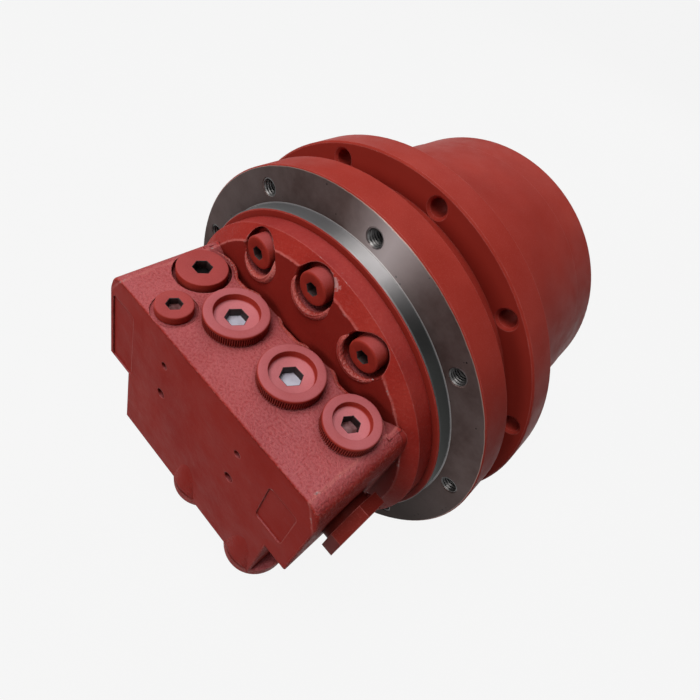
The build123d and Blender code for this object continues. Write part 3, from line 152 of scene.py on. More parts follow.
def calc(tree, kind, first, second=None):
    node = tree.nodes.new("ShaderNodeMath")
    node.operation = kind
    plug(tree, node.inputs[0], first)
    plug(tree, node.inputs[1], second)
    return node.outputs[0]


def times(tree, first, second):
    return calc(tree, "MULTIPLY", first, second)


def most(tree, first, second):
    return calc(tree, "MAXIMUM", first, second)


def gapFrom(tree, value, middle):
    return calc(tree, "ABSOLUTE", calc(tree, "SUBTRACT", value, middle))


def bump(tree, height, strength, distance, normal=None):
    node = tree.nodes.new("ShaderNodeBump")
    node.inputs["Strength"].default_value = strength
    node.inputs["Distance"].default_value = distance
    tree.links.new(height, node.inputs["Height"])
    plug(tree, node.inputs["Normal"], normal)
    return node.outputs[0]


def mixColour(tree, factor, first, second):
    node = tree.nodes.new("ShaderNodeMix")
    node.data_type = "RGBA"
    for index, value in ((0, factor), (6, first), (7, second)):
        plug(tree, node.inputs[index], value)
    return node.outputs[2]


def mixValue(tree, factor, first, second):
    node = tree.nodes.new("ShaderNodeMix")
    for index, value in ((0, factor), (2, first), (3, second)):
        plug(tree, node.inputs[index], value)
    return node.outputs[0]


def roundedEdges(tree, radius):
    node = tree.nodes.new("ShaderNodeBevel")  # softens the light on sharp corners
    node.samples = 6
    node.inputs["Radius"].default_value = radius
    return node.outputs[0]


def edgeMask(tree, softNormal, low, high):
    face = tree.nodes.new("ShaderNodeNewGeometry")
    node = tree.nodes.new("ShaderNodeVectorMath")
    node.operation = "DOT_PRODUCT"
    tree.links.new(softNormal, node.inputs[0])
    tree.links.new(face.outputs["Normal"], node.inputs[1])
    return rise(tree, node.outputs["Value"], high, low)


def openness(tree, reach):
    node = tree.nodes.new("ShaderNodeAmbientOcclusion")  # 1 on open faces, low in corners
    node.samples = 5
    node.inputs["Distance"].default_value = reach
    return node.outputs["AO"]


# places measured from the drive axis
def axisParts(tree, vector):
    x, y, z = splitAxes(tree, vector)
    radius = calc(tree, "SQRT", calc(tree, "ADD", times(tree, x, x), times(tree, z, z)))
    return radius, y


def turnShare(tree, vector, radius):
    return calc(tree, "DIVIDE", splitAxes(tree, vector)[0], radius)  # sine of the angle from the top


def heightOf(tree, vector):
    return splitAxes(tree, vector)[2]


def distanceTo(tree, vector, place):
    node = tree.nodes.new("ShaderNodeVectorMath")
    node.operation = "DISTANCE"
    tree.links.new(vector, node.inputs[0])
    node.inputs[1].default_value = place
    return node.outputs["Value"]


# red oxide primer: one coat, laid on rough castings or on turned surfaces
castCoat = {
    "deep": (0.285, 0.020, 0.015),
    "middle": (0.360, 0.031, 0.023),
    "light": (0.425, 0.046, 0.034),
    "thinPaintAndHighlight": (0.560, 0.170, 0.155),  # thin paint and a painted highlight over sharp edges
    # painted shade, laid in corners and on the wall behind the plugs
    "crevice": (0.060, 0.006, 0.004),
    "cloudScale": 26.0,
    "cloudStops": (0.32, 0.52, 0.72),
    "endwardShade": (-0.99, -0.95, 0.7, 0.0),  # painted shade: faces that look along -Y, such as the end face, take the deeper colour
    "milledGrain": (-0.97, -0.90, 0.06, 1.0),  # the milled end face has almost no sand grain
    "dustAndSheen": (0.560, 0.180, 0.205),  # dust settled on faces that look up, with a painted sheen there
    "dustAndSheenShare": 0.60,
    "dustAndSheenAim": (0.60, 0.97),
    "dustAndSheenScale": 48.0,
    "dustAndSheenPatch": (0.3, 0.7, 0.7, 1.0),
    "grainScale": 760.0,
    "grainDepth": 1.3 * mm,
    "grainBump": 0.8,
    "grainShade": 0.42,
    "hollows": (0.34, 0.50),
    "crests": (0.52, 0.68),
    "lumpScale": 170.0,
    "lumpDepth": 0.70 * mm,
    "lumpBump": 0.35,
    "edgeRadius": 0.8 * mm,
    "edgeBend": (0.88, 0.99),
    "edgeOpen": (0.45, 0.75),
    "wearScale": 150.0,
    # patches where convex edges take the thin paint and painted highlight
    "wear": (0.35, 0.6, 0.25, 0.8),
    "chips": 0.60,
    "chipEdge": 0.05,
    "creviceReach": 7 * mm,
    "creviceShade": (0.15, 0.75, 0.75, 0.0),
    "roughScale": 75.0,
    "roughSpan": (0.3, 0.7),
    "roughness": (0.38, 0.54),
    "specular": 0.025,
    "wall": None,
}
# the head's cast wall behind the plugs, and the turned cone beyond it
wallLook = {
    "edge": 89.2 * mm,  # the cone meets the wall on this radius
    "blend": (-0.4 * mm, 0.6 * mm),
    "turnedGrain": 0.22,
    "blockBack": (-27.0 * mm, -26.0 * mm),
    "behind": (-35.0 * mm, -32.5 * mm),
    "behindShade": 0.36,
    "within": (-0.6 * mm, -0.2 * mm),
    "stray": 0.6 * mm,
    "strayPatch": (0.3, 0.7),
    "line": (0.3 * mm, 0.9 * mm),  # thin paint and a painted highlight along the edge
    "lineShare": 0.8,
    "lineAim": (0.0, 0.2),
    "lineEnd": (-23.0 * mm, -22.0 * mm),
    "spot": (6.4 * mm, -21.5 * mm, 91.5 * mm),  # bare spot beside the middle screw pocket
    "spotReach": (2.4 * mm, 8.0 * mm),
    "spotLift": (0.30, -0.10),
    "spotScale": 330.0,
    "spotCut": (0.62, 0.74),
    "spotShare": 0.45,
}
headCoat = dict(castCoat, wall=wallLook)
smoothCoat = dict(
    castCoat,
    deep=(0.300, 0.028, 0.019),
    middle=(0.332, 0.034, 0.024),
    light=(0.365, 0.041, 0.029),
    dustAndSheenShare=0.0,
    grainShade=0.10,
    grainScale=1500.0,
    grainDepth=0.06 * mm,
    lumpDepth=0.12 * mm,
    roughness=(0.36, 0.50),
    edgeRadius=0.7 * mm,
    chips=0.68,
)
# painted shade: the spool caps take a darker red
shadedCapCoat = dict(
    smoothCoat,
    deep=(0.150, 0.014, 0.010),
    middle=(0.172, 0.018, 0.013),
    light=(0.195, 0.023, 0.017),
)
plugCoat = dict(
    smoothCoat,
    dustAndSheenShare=0.70,
    grainShade=0.12,
    creviceReach=2.5 * mm,
    edgeRadius=0.4 * mm,
    chips=0.72,
)
flushCoat = dict(plugCoat, dustAndSheenShare=0.28)
dishCoat = dict(plugCoat, dustAndSheen=(0.640, 0.215, 0.240), dustAndSheenShare=0.95)  # dust and a painted sheen lie thickest in the dishes
# painted highlight: the pocket lips and rim bead take lighter reds
highlitLipCoat = dict(
    castCoat,
    dustAndSheenShare=0.0,
    middle=(0.480, 0.075, 0.060),
    light=(0.600, 0.170, 0.150),
    roughness=(0.24, 0.34),
    specular=0.45,  # paint has pooled here and shines
)
# painted shade: the port lobes take darker reds, like the end face
shadedLobeCoat = dict(
    castCoat,
    dustAndSheenShare=0.0,
    grainShade=0.05,
    middle=(0.305, 0.025, 0.019),
    light=(0.325, 0.031, 0.024),
)
bareIron = (0.34, 0.33, 0.33)


def paintColour(tree, look, vector, aim):
    cloud = noise(tree, vector, look["cloudScale"], 4.0)
    tones = (look["deep"], look["middle"], look["light"])
    colour = ramp(tree, cloud, list(zip(look["cloudStops"], tones)))
    # painted shade on faces that look along -Y
    return mixColour(tree, remap(tree, aim[1], *look["endwardShade"]), colour, look["deep"])


def sandShare(tree, look, aim, radius, along):
    share = remap(tree, aim[1], *look["milledGrain"])
    wall = look["wall"]
    if wall:
        near, far = wall["blend"]
        turned = remap(tree, radius, wall["edge"] + near, wall["edge"] + far, 1.0, wall["turnedGrain"])
        turned = most(tree, turned, fall(tree, along, *wall["blockBack"]))
        share = times(tree, share, turned)
    return share


# dust and painted sheen: faces that look up turn paler and pinker
def dustAndSheenOver(tree, look, vector, aim, sandy, colour):
    dustAndSheenMask = times(tree, remap(tree, aim[2], *look["dustAndSheenAim"], 0.0, look["dustAndSheenShare"]), sandy)
    patchy = remap(tree, noise(tree, vector, look["dustAndSheenScale"], 4.0), *look["dustAndSheenPatch"])
    return mixColour(tree, times(tree, dustAndSheenMask, patchy), colour, look["dustAndSheen"])


def grainOver(tree, look, grain, sandy, colour):
    shade = times(tree, sandy, look["grainShade"])
    hollow = times(tree, fall(tree, grain, *look["hollows"]), shade)
    colour = mixColour(tree, hollow, colour, look["deep"])
    crest = times(tree, rise(tree, grain, *look["crests"]), shade)
    return mixColour(tree, crest, colour, look["thinPaintAndHighlight"])


def wallShade(tree, wall, radius, along):
    behind = remap(tree, along, *wall["behind"], 0.0, wall["behindShade"])
    near, far = wall["within"]
    return times(tree, behind, fall(tree, radius, wall["edge"] + near, wall["edge"] + far))


def wallLine(tree, wall, radius, along, aim, patch):
    stray = remap(tree, patch, *wall["strayPatch"], -wall["stray"], wall["stray"])
    away = gapFrom(tree, calc(tree, "ADD", radius, stray), wall["edge"])
    line = remap(tree, away, *wall["line"], wall["lineShare"], 0.0)
    line = times(tree, line, rise(tree, aim[2], *wall["lineAim"]))
    return times(tree, line, fall(tree, along, *wall["lineEnd"]))


def bareSpot(tree, wall, vector):
    near = remap(tree, distanceTo(tree, vector, wall["spot"]), *wall["spotReach"], *wall["spotLift"])
    broken = calc(tree, "ADD", near, noise(tree, vector, wall["spotScale"], 4.0, 0.7))
    return remap(tree, broken, *wall["spotCut"], 0.0, wall["spotShare"])


def primerCoat(tree, look, vector):
    wall = look["wall"]
    aim = facing(tree)
    radius, along = axisParts(tree, vector)
    colour = paintColour(tree, look, vector, aim)
    sandy = sandShare(tree, look, aim, radius, along)
    if look["dustAndSheenShare"]:
        colour = dustAndSheenOver(tree, look, vector, aim, sandy, colour)
    grain = noise(tree, vector, look["grainScale"], 3.0, 0.62)
    colour = grainOver(tree, look, grain, sandy, colour)
    if wall:
        # painted shade on the wall behind the plugs
        colour = mixColour(tree, wallShade(tree, wall, radius, along), colour, look["crevice"])
    soft = roundedEdges(tree, look["edgeRadius"])
    openFace = openness(tree, look["creviceReach"])
    edge = times(tree, edgeMask(tree, soft, *look["edgeBend"]), rise(tree, openFace, *look["edgeOpen"]))
    patch = noise(tree, vector, look["wearScale"], 4.0, 0.65)
    if wall:
        # thin paint and a painted highlight where the turned cone meets the wall
        edge = most(tree, edge, wallLine(tree, wall, radius, along, aim, patch))
    # thin paint and a painted highlight on convex edges, in patches
    colour = mixColour(tree, times(tree, edge, remap(tree, patch, *look["wear"])), colour, look["thinPaintAndHighlight"])
    chip = times(tree, edge, rise(tree, patch, look["chips"], look["chips"] + look["chipEdge"]))
    if wall:
        chip = most(tree, chip, bareSpot(tree, wall, vector))
    colour = mixColour(tree, chip, colour, bareIron)
    # painted shade in corners, found by ambient occlusion
    colour = mixColour(tree, remap(tree, openFace, *look["creviceShade"]), colour, look["crevice"])
    lumps = noise(tree, vector, look["lumpScale"], 3.0)
    normal = bump(tree, lumps, look["lumpBump"], look["lumpDepth"], soft)
    normal = bump(tree, times(tree, grain, sandy), look["grainBump"], look["grainDepth"], normal)
    rough = remap(tree, noise(tree, vector, look["roughScale"]), *look["roughSpan"], *look["roughness"])
    return colour, rough, normal, chip


def redPrimer(name, look):
    mat, tree, shader = newMaterial(name)
    colour, rough, normal, chip = primerCoat(tree, look, coords(tree))
    connect(tree, shader, Base_Color=colour, Roughness=rough, Normal=normal, Metallic=chip)
    shader.inputs["Specular IOR Level"].default_value = look["specular"]
    return mat


# bare turned iron on the mounting face and pilot, primer on the rim, oiled iron inside
turnedIron = {
    "face": (0.175, 0.128, 0.122),
    "faceDark": (0.095, 0.062, 0.057),
    "faceEnd": 0.4 * mm,  # the bare face stops just behind the face plane
    "stainScale": 55.0,
    "stainSpan": (0.35, 0.68),
    "pit": (0.015, 0.013, 0.013),
    "pitScale": 190.0,
    "pitSize": (0.10, 0.13),
    "pitPatch": 60.0,
    "pitSpan": (0.50, 0.56),
    "wedge": (0.36, 0.33, 0.34),  # painted highlight where the turned face would catch the window
    "wedgeAt": 0.14,
    "wedgeHalf": 0.27,
    "wedgeRise": (0.0, 60 * mm),
    "wedgeShare": 0.6,
    "pilot": (0.36, 0.35, 0.36),
    "pilotDark": (0.075, 0.078, 0.076),
    "pilotReflectionStops": ((0.20, 0.25), (0.45, 0.75), (0.60, 1.0), (0.74, 0.10), (0.84, 0.0)),
    "pilotFront": -8.6 * mm,
    "pilotOut": 102.3 * mm,
    "corner": (0.62, 0.60, 0.60),  # painted highlight: a bright line where pilot and face meet
    "cornerGap": 0.35 * mm,
    "cornerWidth": (0.12 * mm, 0.32 * mm),
    "cornerShare": 0.8,
    "lowShade": (0.012, 0.008, 0.006),  # painted shade: darker towards the low side of the face
    "shadeTop": 30 * mm,
    "shadeLow": -45 * mm,
    "shadeShare": 0.80,
    # painted highlight along the rim's edge
    "rimHighlight": (0.36, 0.25, 0.22),
    "lineWidth": (0.25 * mm, 0.10 * mm),
    "rimIn": 121.3 * mm,
    "ragged": 0.14 * mm,
    "raggedScale": 120.0,
    "oily": (0.30, 0.29, 0.28),
    "insideRadius": 104.0 * mm,
    "insideFrom": 22.3 * mm,
    "insideBlend": 1.0 * mm,
    "blend": 0.2 * mm,
    "faceBlend": 0.1 * mm,
    "grooveScale": 1900.0,
    "grooveBump": 0.12,
    "grooveDepth": 0.05 * mm,
    "roughSpan": (0.3, 0.7),
    "roughness": (0.54, 0.66),
    "anisotropy": 0.92,
    "grooveTurn": 0.25,  # light spreads across the turning grooves
}


# painted reflection: the pilot's brightness follows which way its surface faces
def pilotPaintedReflection(tree, look):
    turn = rise(tree, facing(tree)[0], -1.0, 1.0)
    tone = ramp(tree, turn, [(place, (share,) * 3) for place, share in look["pilotReflectionStops"]])
    return mixColour(tree, tone, look["pilotDark"], look["pilot"])


def bareFace(tree, look, vector, radius, ragged, stain):
    face = mixColour(tree, rise(tree, stain, *look["stainSpan"]), look["faceDark"], look["face"])
    hole = fall(tree, pits(tree, vector, look["pitScale"]), *look["pitSize"])
    hole = times(tree, hole, rise(tree, noise(tree, vector, look["pitPatch"]), *look["pitSpan"]))
    face = mixColour(tree, hole, face, look["pit"])
    # painted highlight: a bright wedge on the turned face, stronger higher up
    height = heightOf(tree, vector)
    away = gapFrom(tree, turnShare(tree, vector, radius), look["wedgeAt"])
    above = remap(tree, height, *look["wedgeRise"], 0.0, look["wedgeShare"])
    wedge = times(tree, fall(tree, away, 0.0, look["wedgeHalf"]), above)
    face = mixColour(tree, wedge, face, look["wedge"])
    # painted highlight along the corner of pilot and face
    corner = gapFrom(tree, radius, look["pilotOut"] + look["cornerGap"])
    corner = remap(tree, corner, *look["cornerWidth"], look["cornerShare"], 0.0)
    face = mixColour(tree, corner, face, look["corner"])
    # painted shade: darker towards the bottom
    run = remap(tree, height, look["shadeTop"], look["shadeLow"], 0.0, look["shadeShare"])
    face = mixColour(tree, run, face, look["lowShade"])
    # painted reflection on the pilot
    onPilot = fall(tree, radius, look["pilotOut"], look["pilotOut"] + look["blend"])
    face = mixColour(tree, onPilot, face, pilotPaintedReflection(tree, look))
    # painted highlight along the rim's edge
    start, end = look["lineWidth"]
    line = rise(tree, ragged, look["rimIn"] - start, look["rimIn"] - end)
    return mixColour(tree, line, face, look["rimHighlight"])


def frameIron(name, look, coat):
    mat, tree, shader = newMaterial(name)
    vector = coords(tree)
    red, rough, normal, chip = primerCoat(tree, coat, vector)
    radius, along = axisParts(tree, vector)
    stray = noise(tree, vector, look["raggedScale"], 4.0)
    stray = remap(tree, stray, *look["roughSpan"], -look["ragged"], look["ragged"])
    ragged = calc(tree, "ADD", radius, stray)
    bare = fall(tree, along, look["faceEnd"], look["faceEnd"] + look["faceBlend"])
    bare = times(tree, bare, fall(tree, ragged, look["rimIn"], look["rimIn"] + look["blend"]))
    bare = times(tree, bare, rise(tree, along, look["pilotFront"], look["pilotFront"] + look["blend"]))
    inside = rise(tree, along, look["insideFrom"], look["insideFrom"] + look["faceBlend"])
    inner = fall(tree, radius, look["insideRadius"], look["insideRadius"] + look["insideBlend"])
    inside = times(tree, inside, inner)
    stain = noise(tree, vector, look["stainScale"], 4.0, 0.6)
    face = bareFace(tree, look, vector, radius, ragged, stain)
    colour = mixColour(tree, inside, mixColour(tree, bare, red, face), look["oily"])
    metal = most(tree, most(tree, bare, inside), chip)
    wave = times(tree, calc(tree, "ADD", radius, along), look["grooveScale"] * 2 * math.pi)
    grooves = times(tree, calc(tree, "SINE", wave), bare)
    normal = bump(tree, grooves, look["grooveBump"], look["grooveDepth"], normal)
    smooth = remap(tree, stain, *look["roughSpan"], *look["roughness"])
    around = tree.nodes.new("ShaderNodeTangent")
    around.direction_type = "RADIAL"
    around.axis = "Y"
    connect(
        tree, shader, Base_Color=colour, Metallic=metal, Roughness=mixValue(tree, metal, rough, smooth),
        Normal=normal, Tangent=around.outputs[0],
    )
    shader.inputs["Anisotropic"].default_value = look["anisotropy"]
    shader.inputs["Anisotropic Rotation"].default_value = look["grooveTurn"]
    shader.inputs["Specular IOR Level"].default_value = coat["specular"]
    return mat


# finishes of the inner pieces
metalLooks = {
    "groundSteel": {
        "dark": (0.36, 0.36, 0.37), "light": (0.60, 0.60, 0.62),
        "rough": (0.18, 0.34), "lines": (40, 900, 40),
    },
    "zincSteel": {
        "dark": (0.50, 0.49, 0.44), "light": (0.70, 0.69, 0.66),
        "rough": (0.26, 0.44), "lines": (300, 300, 300),
    },
    "bearingBronze": {
        "dark": (0.40, 0.24, 0.09), "light": (0.66, 0.45, 0.20),
        "rough": (0.22, 0.40), "lines": (60, 700, 60),
    },
    "tappedSteel": {
        "dark": (0.07, 0.07, 0.07), "light": (0.26, 0.25, 0.25),
        "rough": (0.40, 0.55), "lines": (90, 500, 90),
    },
    # black oxide on the snap ring; painted shade on the key-socket floors
    "blackOxideAndShade": {
        "dark": (0.010, 0.009, 0.010), "light": (0.030, 0.026, 0.026),
        "rough": (0.35, 0.60), "lines": (400, 400, 400),
    },
}
metalWear = {
    "stops": (0.34, 0.66), "roughScale": 130.0, "roughSpan": (0.3, 0.7),
    "bump": 0.12, "depth": 0.04 * mm, "edgeRadius": 0.25 * mm,
}


def metalFinish(name, look, wear):
    mat, tree, shader = newMaterial(name)
    vector = coords(tree)
    streak = noise(tree, stretched(tree, vector, look["lines"]), 1.0, 4.0, 0.6)
    colour = ramp(tree, streak, list(zip(wear["stops"], (look["dark"], look["light"]))))
    rough = remap(tree, noise(tree, vector, wear["roughScale"]), *wear["roughSpan"], *look["rough"])
    normal = bump(tree, streak, wear["bump"], wear["depth"], roundedEdges(tree, wear["edgeRadius"]))
    connect(tree, shader, Base_Color=colour, Roughness=rough, Normal=normal)
    shader.inputs["Metallic"].default_value = 1.0
    return mat


dullLooks = {
    "brakeLining": {
        "dark": (0.070, 0.055, 0.045), "light": (0.200, 0.160, 0.130),
        "scale": 900.0, "rough": (0.70, 0.90),
    },
    "sealRubber": {
        "dark": (0.012, 0.012, 0.012), "light": (0.035, 0.034, 0.033),
        "scale": 300.0, "rough": (0.50, 0.70),
    },
    # bare steel key-socket floors with a painted reflection, pale and bluish
    "bareSocketReflection": {
        "dark": (0.47, 0.43, 0.52), "light": (0.60, 0.59, 0.70),
        "scale": 120.0, "rough": (0.30, 0.50),
    },
    # painted shade on the key-socket floors
    "shadedSocket": {
        "dark": (0.10, 0.020, 0.020), "light": (0.30, 0.14, 0.15),
        "scale": 190.0, "rough": (0.40, 0.60),
    },
    "shadowWall": {
        "dark": (0.010, 0.004, 0.004), "light": (0.030, 0.007, 0.007),
        "scale": 400.0, "rough": (0.50, 0.70),
    },
}
dullWear = {
    "stops": (0.36, 0.62), "roughScale": 90.0, "roughSpan": (0.3, 0.7),
    "bump": 0.3, "depth": 0.08 * mm,
}


def dullFinish(name, look, wear):
    mat, tree, shader = newMaterial(name)
    vector = coords(tree)
    grain = noise(tree, vector, look["scale"], 4.0, 0.6)
    colour = ramp(tree, grain, list(zip(wear["stops"], (look["dark"], look["light"]))))
    rough = remap(tree, noise(tree, vector, wear["roughScale"]), *wear["roughSpan"], *look["rough"])
    normal = bump(tree, grain, wear["bump"], wear["depth"])
    connect(tree, shader, Base_Color=colour, Roughness=rough, Normal=normal)
    return mat


primerLooks = {
    "castPrimer": headCoat,
    "smoothPrimer": smoothCoat,
    "shadedCapPrimer": shadedCapCoat,
    "plugPrimer": plugCoat,
    "flushPrimer": flushCoat,
    "dishPrimer": dishCoat,
    "highlitLipPrimer": highlitLipCoat,
    "shadedLobePrimer": shadedLobeCoat,
}
finishes = {name: redPrimer(name, look) for name, look in primerLooks.items()}
finishes["frameIron"] = frameIron("frameIron", turnedIron, smoothCoat)
finishes.update({name: metalFinish(name, look, metalWear) for name, look in metalLooks.items()})
finishes.update({name: dullFinish(name, look, dullWear) for name, look in dullLooks.items()})
print("finishes ready,", len(finishes))

nodeFinish = {
    "castPrimer": ["motor_head"],
    "smoothPrimer": ["hub", "end_cover"],
    "shadedCapPrimer": ["spool_caps"],
    "plugPrimer": ["head_screws", "relief_plugs", "shuttle_plug", "speed_plug", "gauge_plug"],
    "frameIron": ["frame_housing"],
    "zincSteel": [
        "oil_plugs", "spool_springs", "speed_spring", "brake_spring", "bearing_nut", "main_bearing_cages",
    ],
    "bearingBronze": ["rear_bush", "valve_plate", "piston_shoes", "thrust_button"],
    "brakeLining": ["brake_friction_discs"],
    "sealRubber": ["head_o_ring", "cover_o_ring", "fixed_seal_toric", "turning_seal_toric", "shaft_seal"],
    "blackOxideAndShade": ["cover_snap_ring"],
}


def dressNodes():
    finishOf = {node: name for name, names in nodeFinish.items() for node in names}
    for node, obj in nodes.items():
        obj.data.materials.clear()
        obj.data.materials.append(finishes[finishOf.get(node, "groundSteel")])  # gears, shafts, rings, pins


dressNodes()
print("nodes dressed")


# helpers for meshes: rows of points are skinned, closed and given their finishes
def skin(build, rows, smoothSteps=None):
    for first, second in zip(rows, rows[1:]):
        for step in range(len(first)):
            after = (step + 1) % len(first)
            face = build.faces.new((first[step], first[after], second[after], second[step]))
            face.smooth = smoothSteps is None or step < smoothSteps


def closeEnds(build, rows):
    build.faces.new(rows[0][::-1])
    build.faces.new(rows[-1])


def pieceFrom(name, build, finishNames):
    mesh = bpy.data.meshes.new(name)
    bmesh.ops.recalc_face_normals(build, faces=build.faces)
    build.to_mesh(mesh)
    build.free()
    for finish in finishNames:
        mesh.materials.append(finishes[finish])
    piece = bpy.data.objects.new(name, mesh)
    bpy.context.scene.collection.objects.link(piece)
    return piece


# turned heads: rings of points lofted from the shank, up the side, into the key socket; sizes in mm
headProfile = {
    "seat": ((-0.5, 0.0), (0.0, 0.4)),  # out from the rim, up from the seat
    "knurlGap": (0.45, 1.75, 1.65),
    "edge": ((0.0, 0.95), (0.12, 0.55), (0.4, 0.22), (0.85, 0.04), (1.3, 0.0)),  # in, down from the top
    "dishLip": ((0.55, 0.0), (0.2, 0.1), (0.02, 0.4)),  # out from the dish wall, down
    "dishFoot": ((0.0, 1.0), (0.15, 0.5), (0.5, 0.15), (1.0, 0.0)),  # in from the dish wall, up
    "keyLip": ((0.35, 0.0), (0.1, 0.12), (0.0, 0.4)),  # out from the key flats, down
    "sharp": 32.0,
}
faceSlots = {"well": 1, "dish": 3}  # slot 0 is the head's own finish
floorSlot = 2  # floor of the key socket


def hexReach(angle, flat):
    side = math.radians(60)
    return flat / math.cos((angle % side) - side / 2)


def ringPoints(count, step):
    kind, radius, height = step[:3]
    points = []
    for index in range(count):
        angle = 2 * math.pi * index / count
        reach = radius
        if kind == "hex":
            reach = hexReach(angle, radius)
        if kind == "knurl" and index % 4 in (2, 3):
            reach = radius - step[3]
        points.append(Vector((reach * math.cos(angle), reach * math.sin(angle), height)))
    return points


def loftHead(build, count, steps, place):
    rings = [[build.verts.new(place @ point) for point in ringPoints(count, step)] for step in steps]
    for lower, upper, step in zip(rings, rings[1:], steps[1:]):
        for index in range(count):
            after = (index + 1) % count
            face = build.faces.new((lower[index], lower[after], upper[after], upper[index]))
            face.material_index = faceSlots.get(step[-1], 0)
            face.smooth = True
    for ring, step in ((rings[0][::-1], steps[0]), (rings[-1], steps[-1])):
        middle = build.verts.new(place @ Vector((0, 0, step[2])))
        for index in range(count):
            face = build.faces.new((ring[index], ring[(index + 1) % count], middle))
            face.material_index = floorSlot if step[-1] == "well" else 0


def headSteps(look, profile):
    top = look["height"]
    rim = look["radius"]
    steps = [("round", look["shank"], -look["reach"]), ("round", look["shank"], -0.02)]
    steps += [("round", rim + out, lift) for out, lift in profile["seat"]]
    if look["knurl"]:
        start, end, plain = profile["knurlGap"]
        steps += [("knurl", rim, height, look["knurl"]) for height in (start, top - end)]
        steps.append(("round", rim, top - plain))
    for turnIn, drop in profile["edge"]:
        steps.append(("round", rim - turnIn * look["rounding"], top - drop * look["rounding"]))
    floor = top - look["dish"]
    if look["dish"]:
        wall = look["dishRadius"]
        steps += [("round", wall + out, top - drop) for out, drop in profile["dishLip"]]
        steps += [("round", wall - turnIn, floor + lift, "dish") for turnIn, lift in profile["dishFoot"]]
    kinds = ("dish" if look["dish"] else "top", "well", "well")
    for (out, drop), kind in zip(profile["keyLip"], kinds):
        steps.append(("hex", look["key"] + out, floor - drop, kind))
    steps.append(("hex", look["key"], floor - look["keyDepth"], "well"))
    return steps


def addHeads(name, look, places, body, node):
    build = bmesh.new()
    for place in places:
        loftHead(build, look["points"], headSteps(look, headProfile), place @ Matrix.Scale(mm, 4))
    piece = pieceFrom(name, build, (look["finish"], "shadowWall", look["socket"], "dishPrimer"))
    piece.data.set_sharp_from_angle(angle=math.radians(headProfile["sharp"]))
    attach(piece, body)
    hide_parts(node)
    return piece


def uprightAt(x, y, z):
    return Matrix.Translation((x, y, z))


def outwardAt(x, y, z):
    return Matrix.Translation((x, y, z)) @ Matrix.Rotation(math.radians(90), 4, "X")  # head faces -Y


def coverAt(x, y, z):
    return Matrix.Translation((x, y, z)) @ Matrix.Rotation(math.radians(-90), 4, "X")  # head faces +Y


reliefLook = {
    "radius": 16.7, "height": 7.6, "knurl": 0.75, "rounding": 1.0, "dish": 4.2, "dishRadius": 11.6,
    "key": 5.0, "keyDepth": 5.0, "shank": 11.9, "reach": 13.5, "points": 360,
    "finish": "plugPrimer", "socket": "bareSocketReflection",
}
shuttleLook = {
    "radius": 14.6, "height": 7.6, "knurl": 0.75, "rounding": 1.0, "dish": 3.8, "dishRadius": 9.6,
    "key": 4.0, "keyDepth": 5.0, "shank": 10.4, "reach": 13.5, "points": 312,
    "finish": "plugPrimer", "socket": "shadedSocket",
}
speedLook = {
    "radius": 13.5, "height": 7.4, "knurl": 0.0, "rounding": 0.55, "dish": 0.0,
    "key": 4.4, "keyDepth": 5.0, "shank": 9.9, "reach": 5.5, "points": 144,
    "finish": "flushPrimer", "socket": "blackOxideAndShade",
}
gaugeLook = {
    "radius": 9.4, "height": 5.2, "knurl": 0.0, "rounding": 0.8, "dish": 0.0,
    "key": 3.4, "keyDepth": 4.0, "shank": 4.9, "reach": 10.9, "points": 144,
    "finish": "flushPrimer", "socket": "shadedSocket",
}


def plugPlaces(node, look):
    low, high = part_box(node)
    across = look["radius"] * mm
    ends = {round(low.x + across, 5), round(high.x - across, 5)}
    return [uprightAt(x, (low.y + high.y) / 2, high.z - look["height"] * mm) for x in sorted(ends)]


def addPlugs():
    places = plugPlaces("relief_plugs", reliefLook)
    addHeads("reliefPlugHeads", reliefLook, places, "housing", "relief_plugs")
    places = plugPlaces("shuttle_plug", shuttleLook)
    addHeads("shuttlePlugHead", shuttleLook, places, "housing", "shuttle_plug")
    places = plugPlaces("speed_plug", speedLook)
    addHeads("speedPlugHead", speedLook, places, "housing", "speed_plug")
    places = plugPlaces("gauge_plug", gaugeLook)
    addHeads("gaugePlugHead", gaugeLook, places, "housing", "gauge_plug")


addPlugs()
print("plugs ready")

screwLook = {
    "radius": 9.0, "height": 9.0, "knurl": 0.0, "rounding": 1.1, "dish": 0.0,
    "key": 3.1, "keyDepth": 6.0, "shank": 5.9, "reach": 30.0, "points": 120,
    "finish": "flushPrimer", "socket": "blackOxideAndShade",
    "solidHeight": 12.0,  # of the plain solid; the painted heads look lower in their pockets
    "turns": (0.0, 27.5, 108.0, 152.5, 180.0, 207.5, 252.0, 332.5),
}
oilLook = {
    "radius": 12.0, "height": 6.0, "knurl": 0.0, "rounding": 0.9, "dish": 0.0,
    "key": 4.0, "keyDepth": 5.0, "shank": 7.9, "reach": 10.9, "points": 120,
    "finish": "zincSteel", "socket": "blackOxideAndShade",
    "pitch": 62.0,
    "turns": (90.0, 210.0, 330.0),
}


def onCircle(radius, turn, y):
    angle = math.radians(turn)
    return radius * math.sin(angle), y, radius * math.cos(angle)


def addScrews():
    low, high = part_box("head_screws")
    pitch = high.z - screwLook["radius"] * mm
    seat = low.y + screwLook["solidHeight"] * mm
    places = [outwardAt(*onCircle(pitch, turn, seat)) for turn in screwLook["turns"]]
    addHeads("headScrewHeads", screwLook, places, "housing", "head_screws")
    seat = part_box("oil_plugs")[1].y - oilLook["height"] * mm
    places = [coverAt(*onCircle(oilLook["pitch"] * mm, turn, seat)) for turn in oilLook["turns"]]
    addHeads("oilPlugHeads", oilLook, places, "drum", "oil_plugs")


addScrews()
print("screws and oil plugs ready")

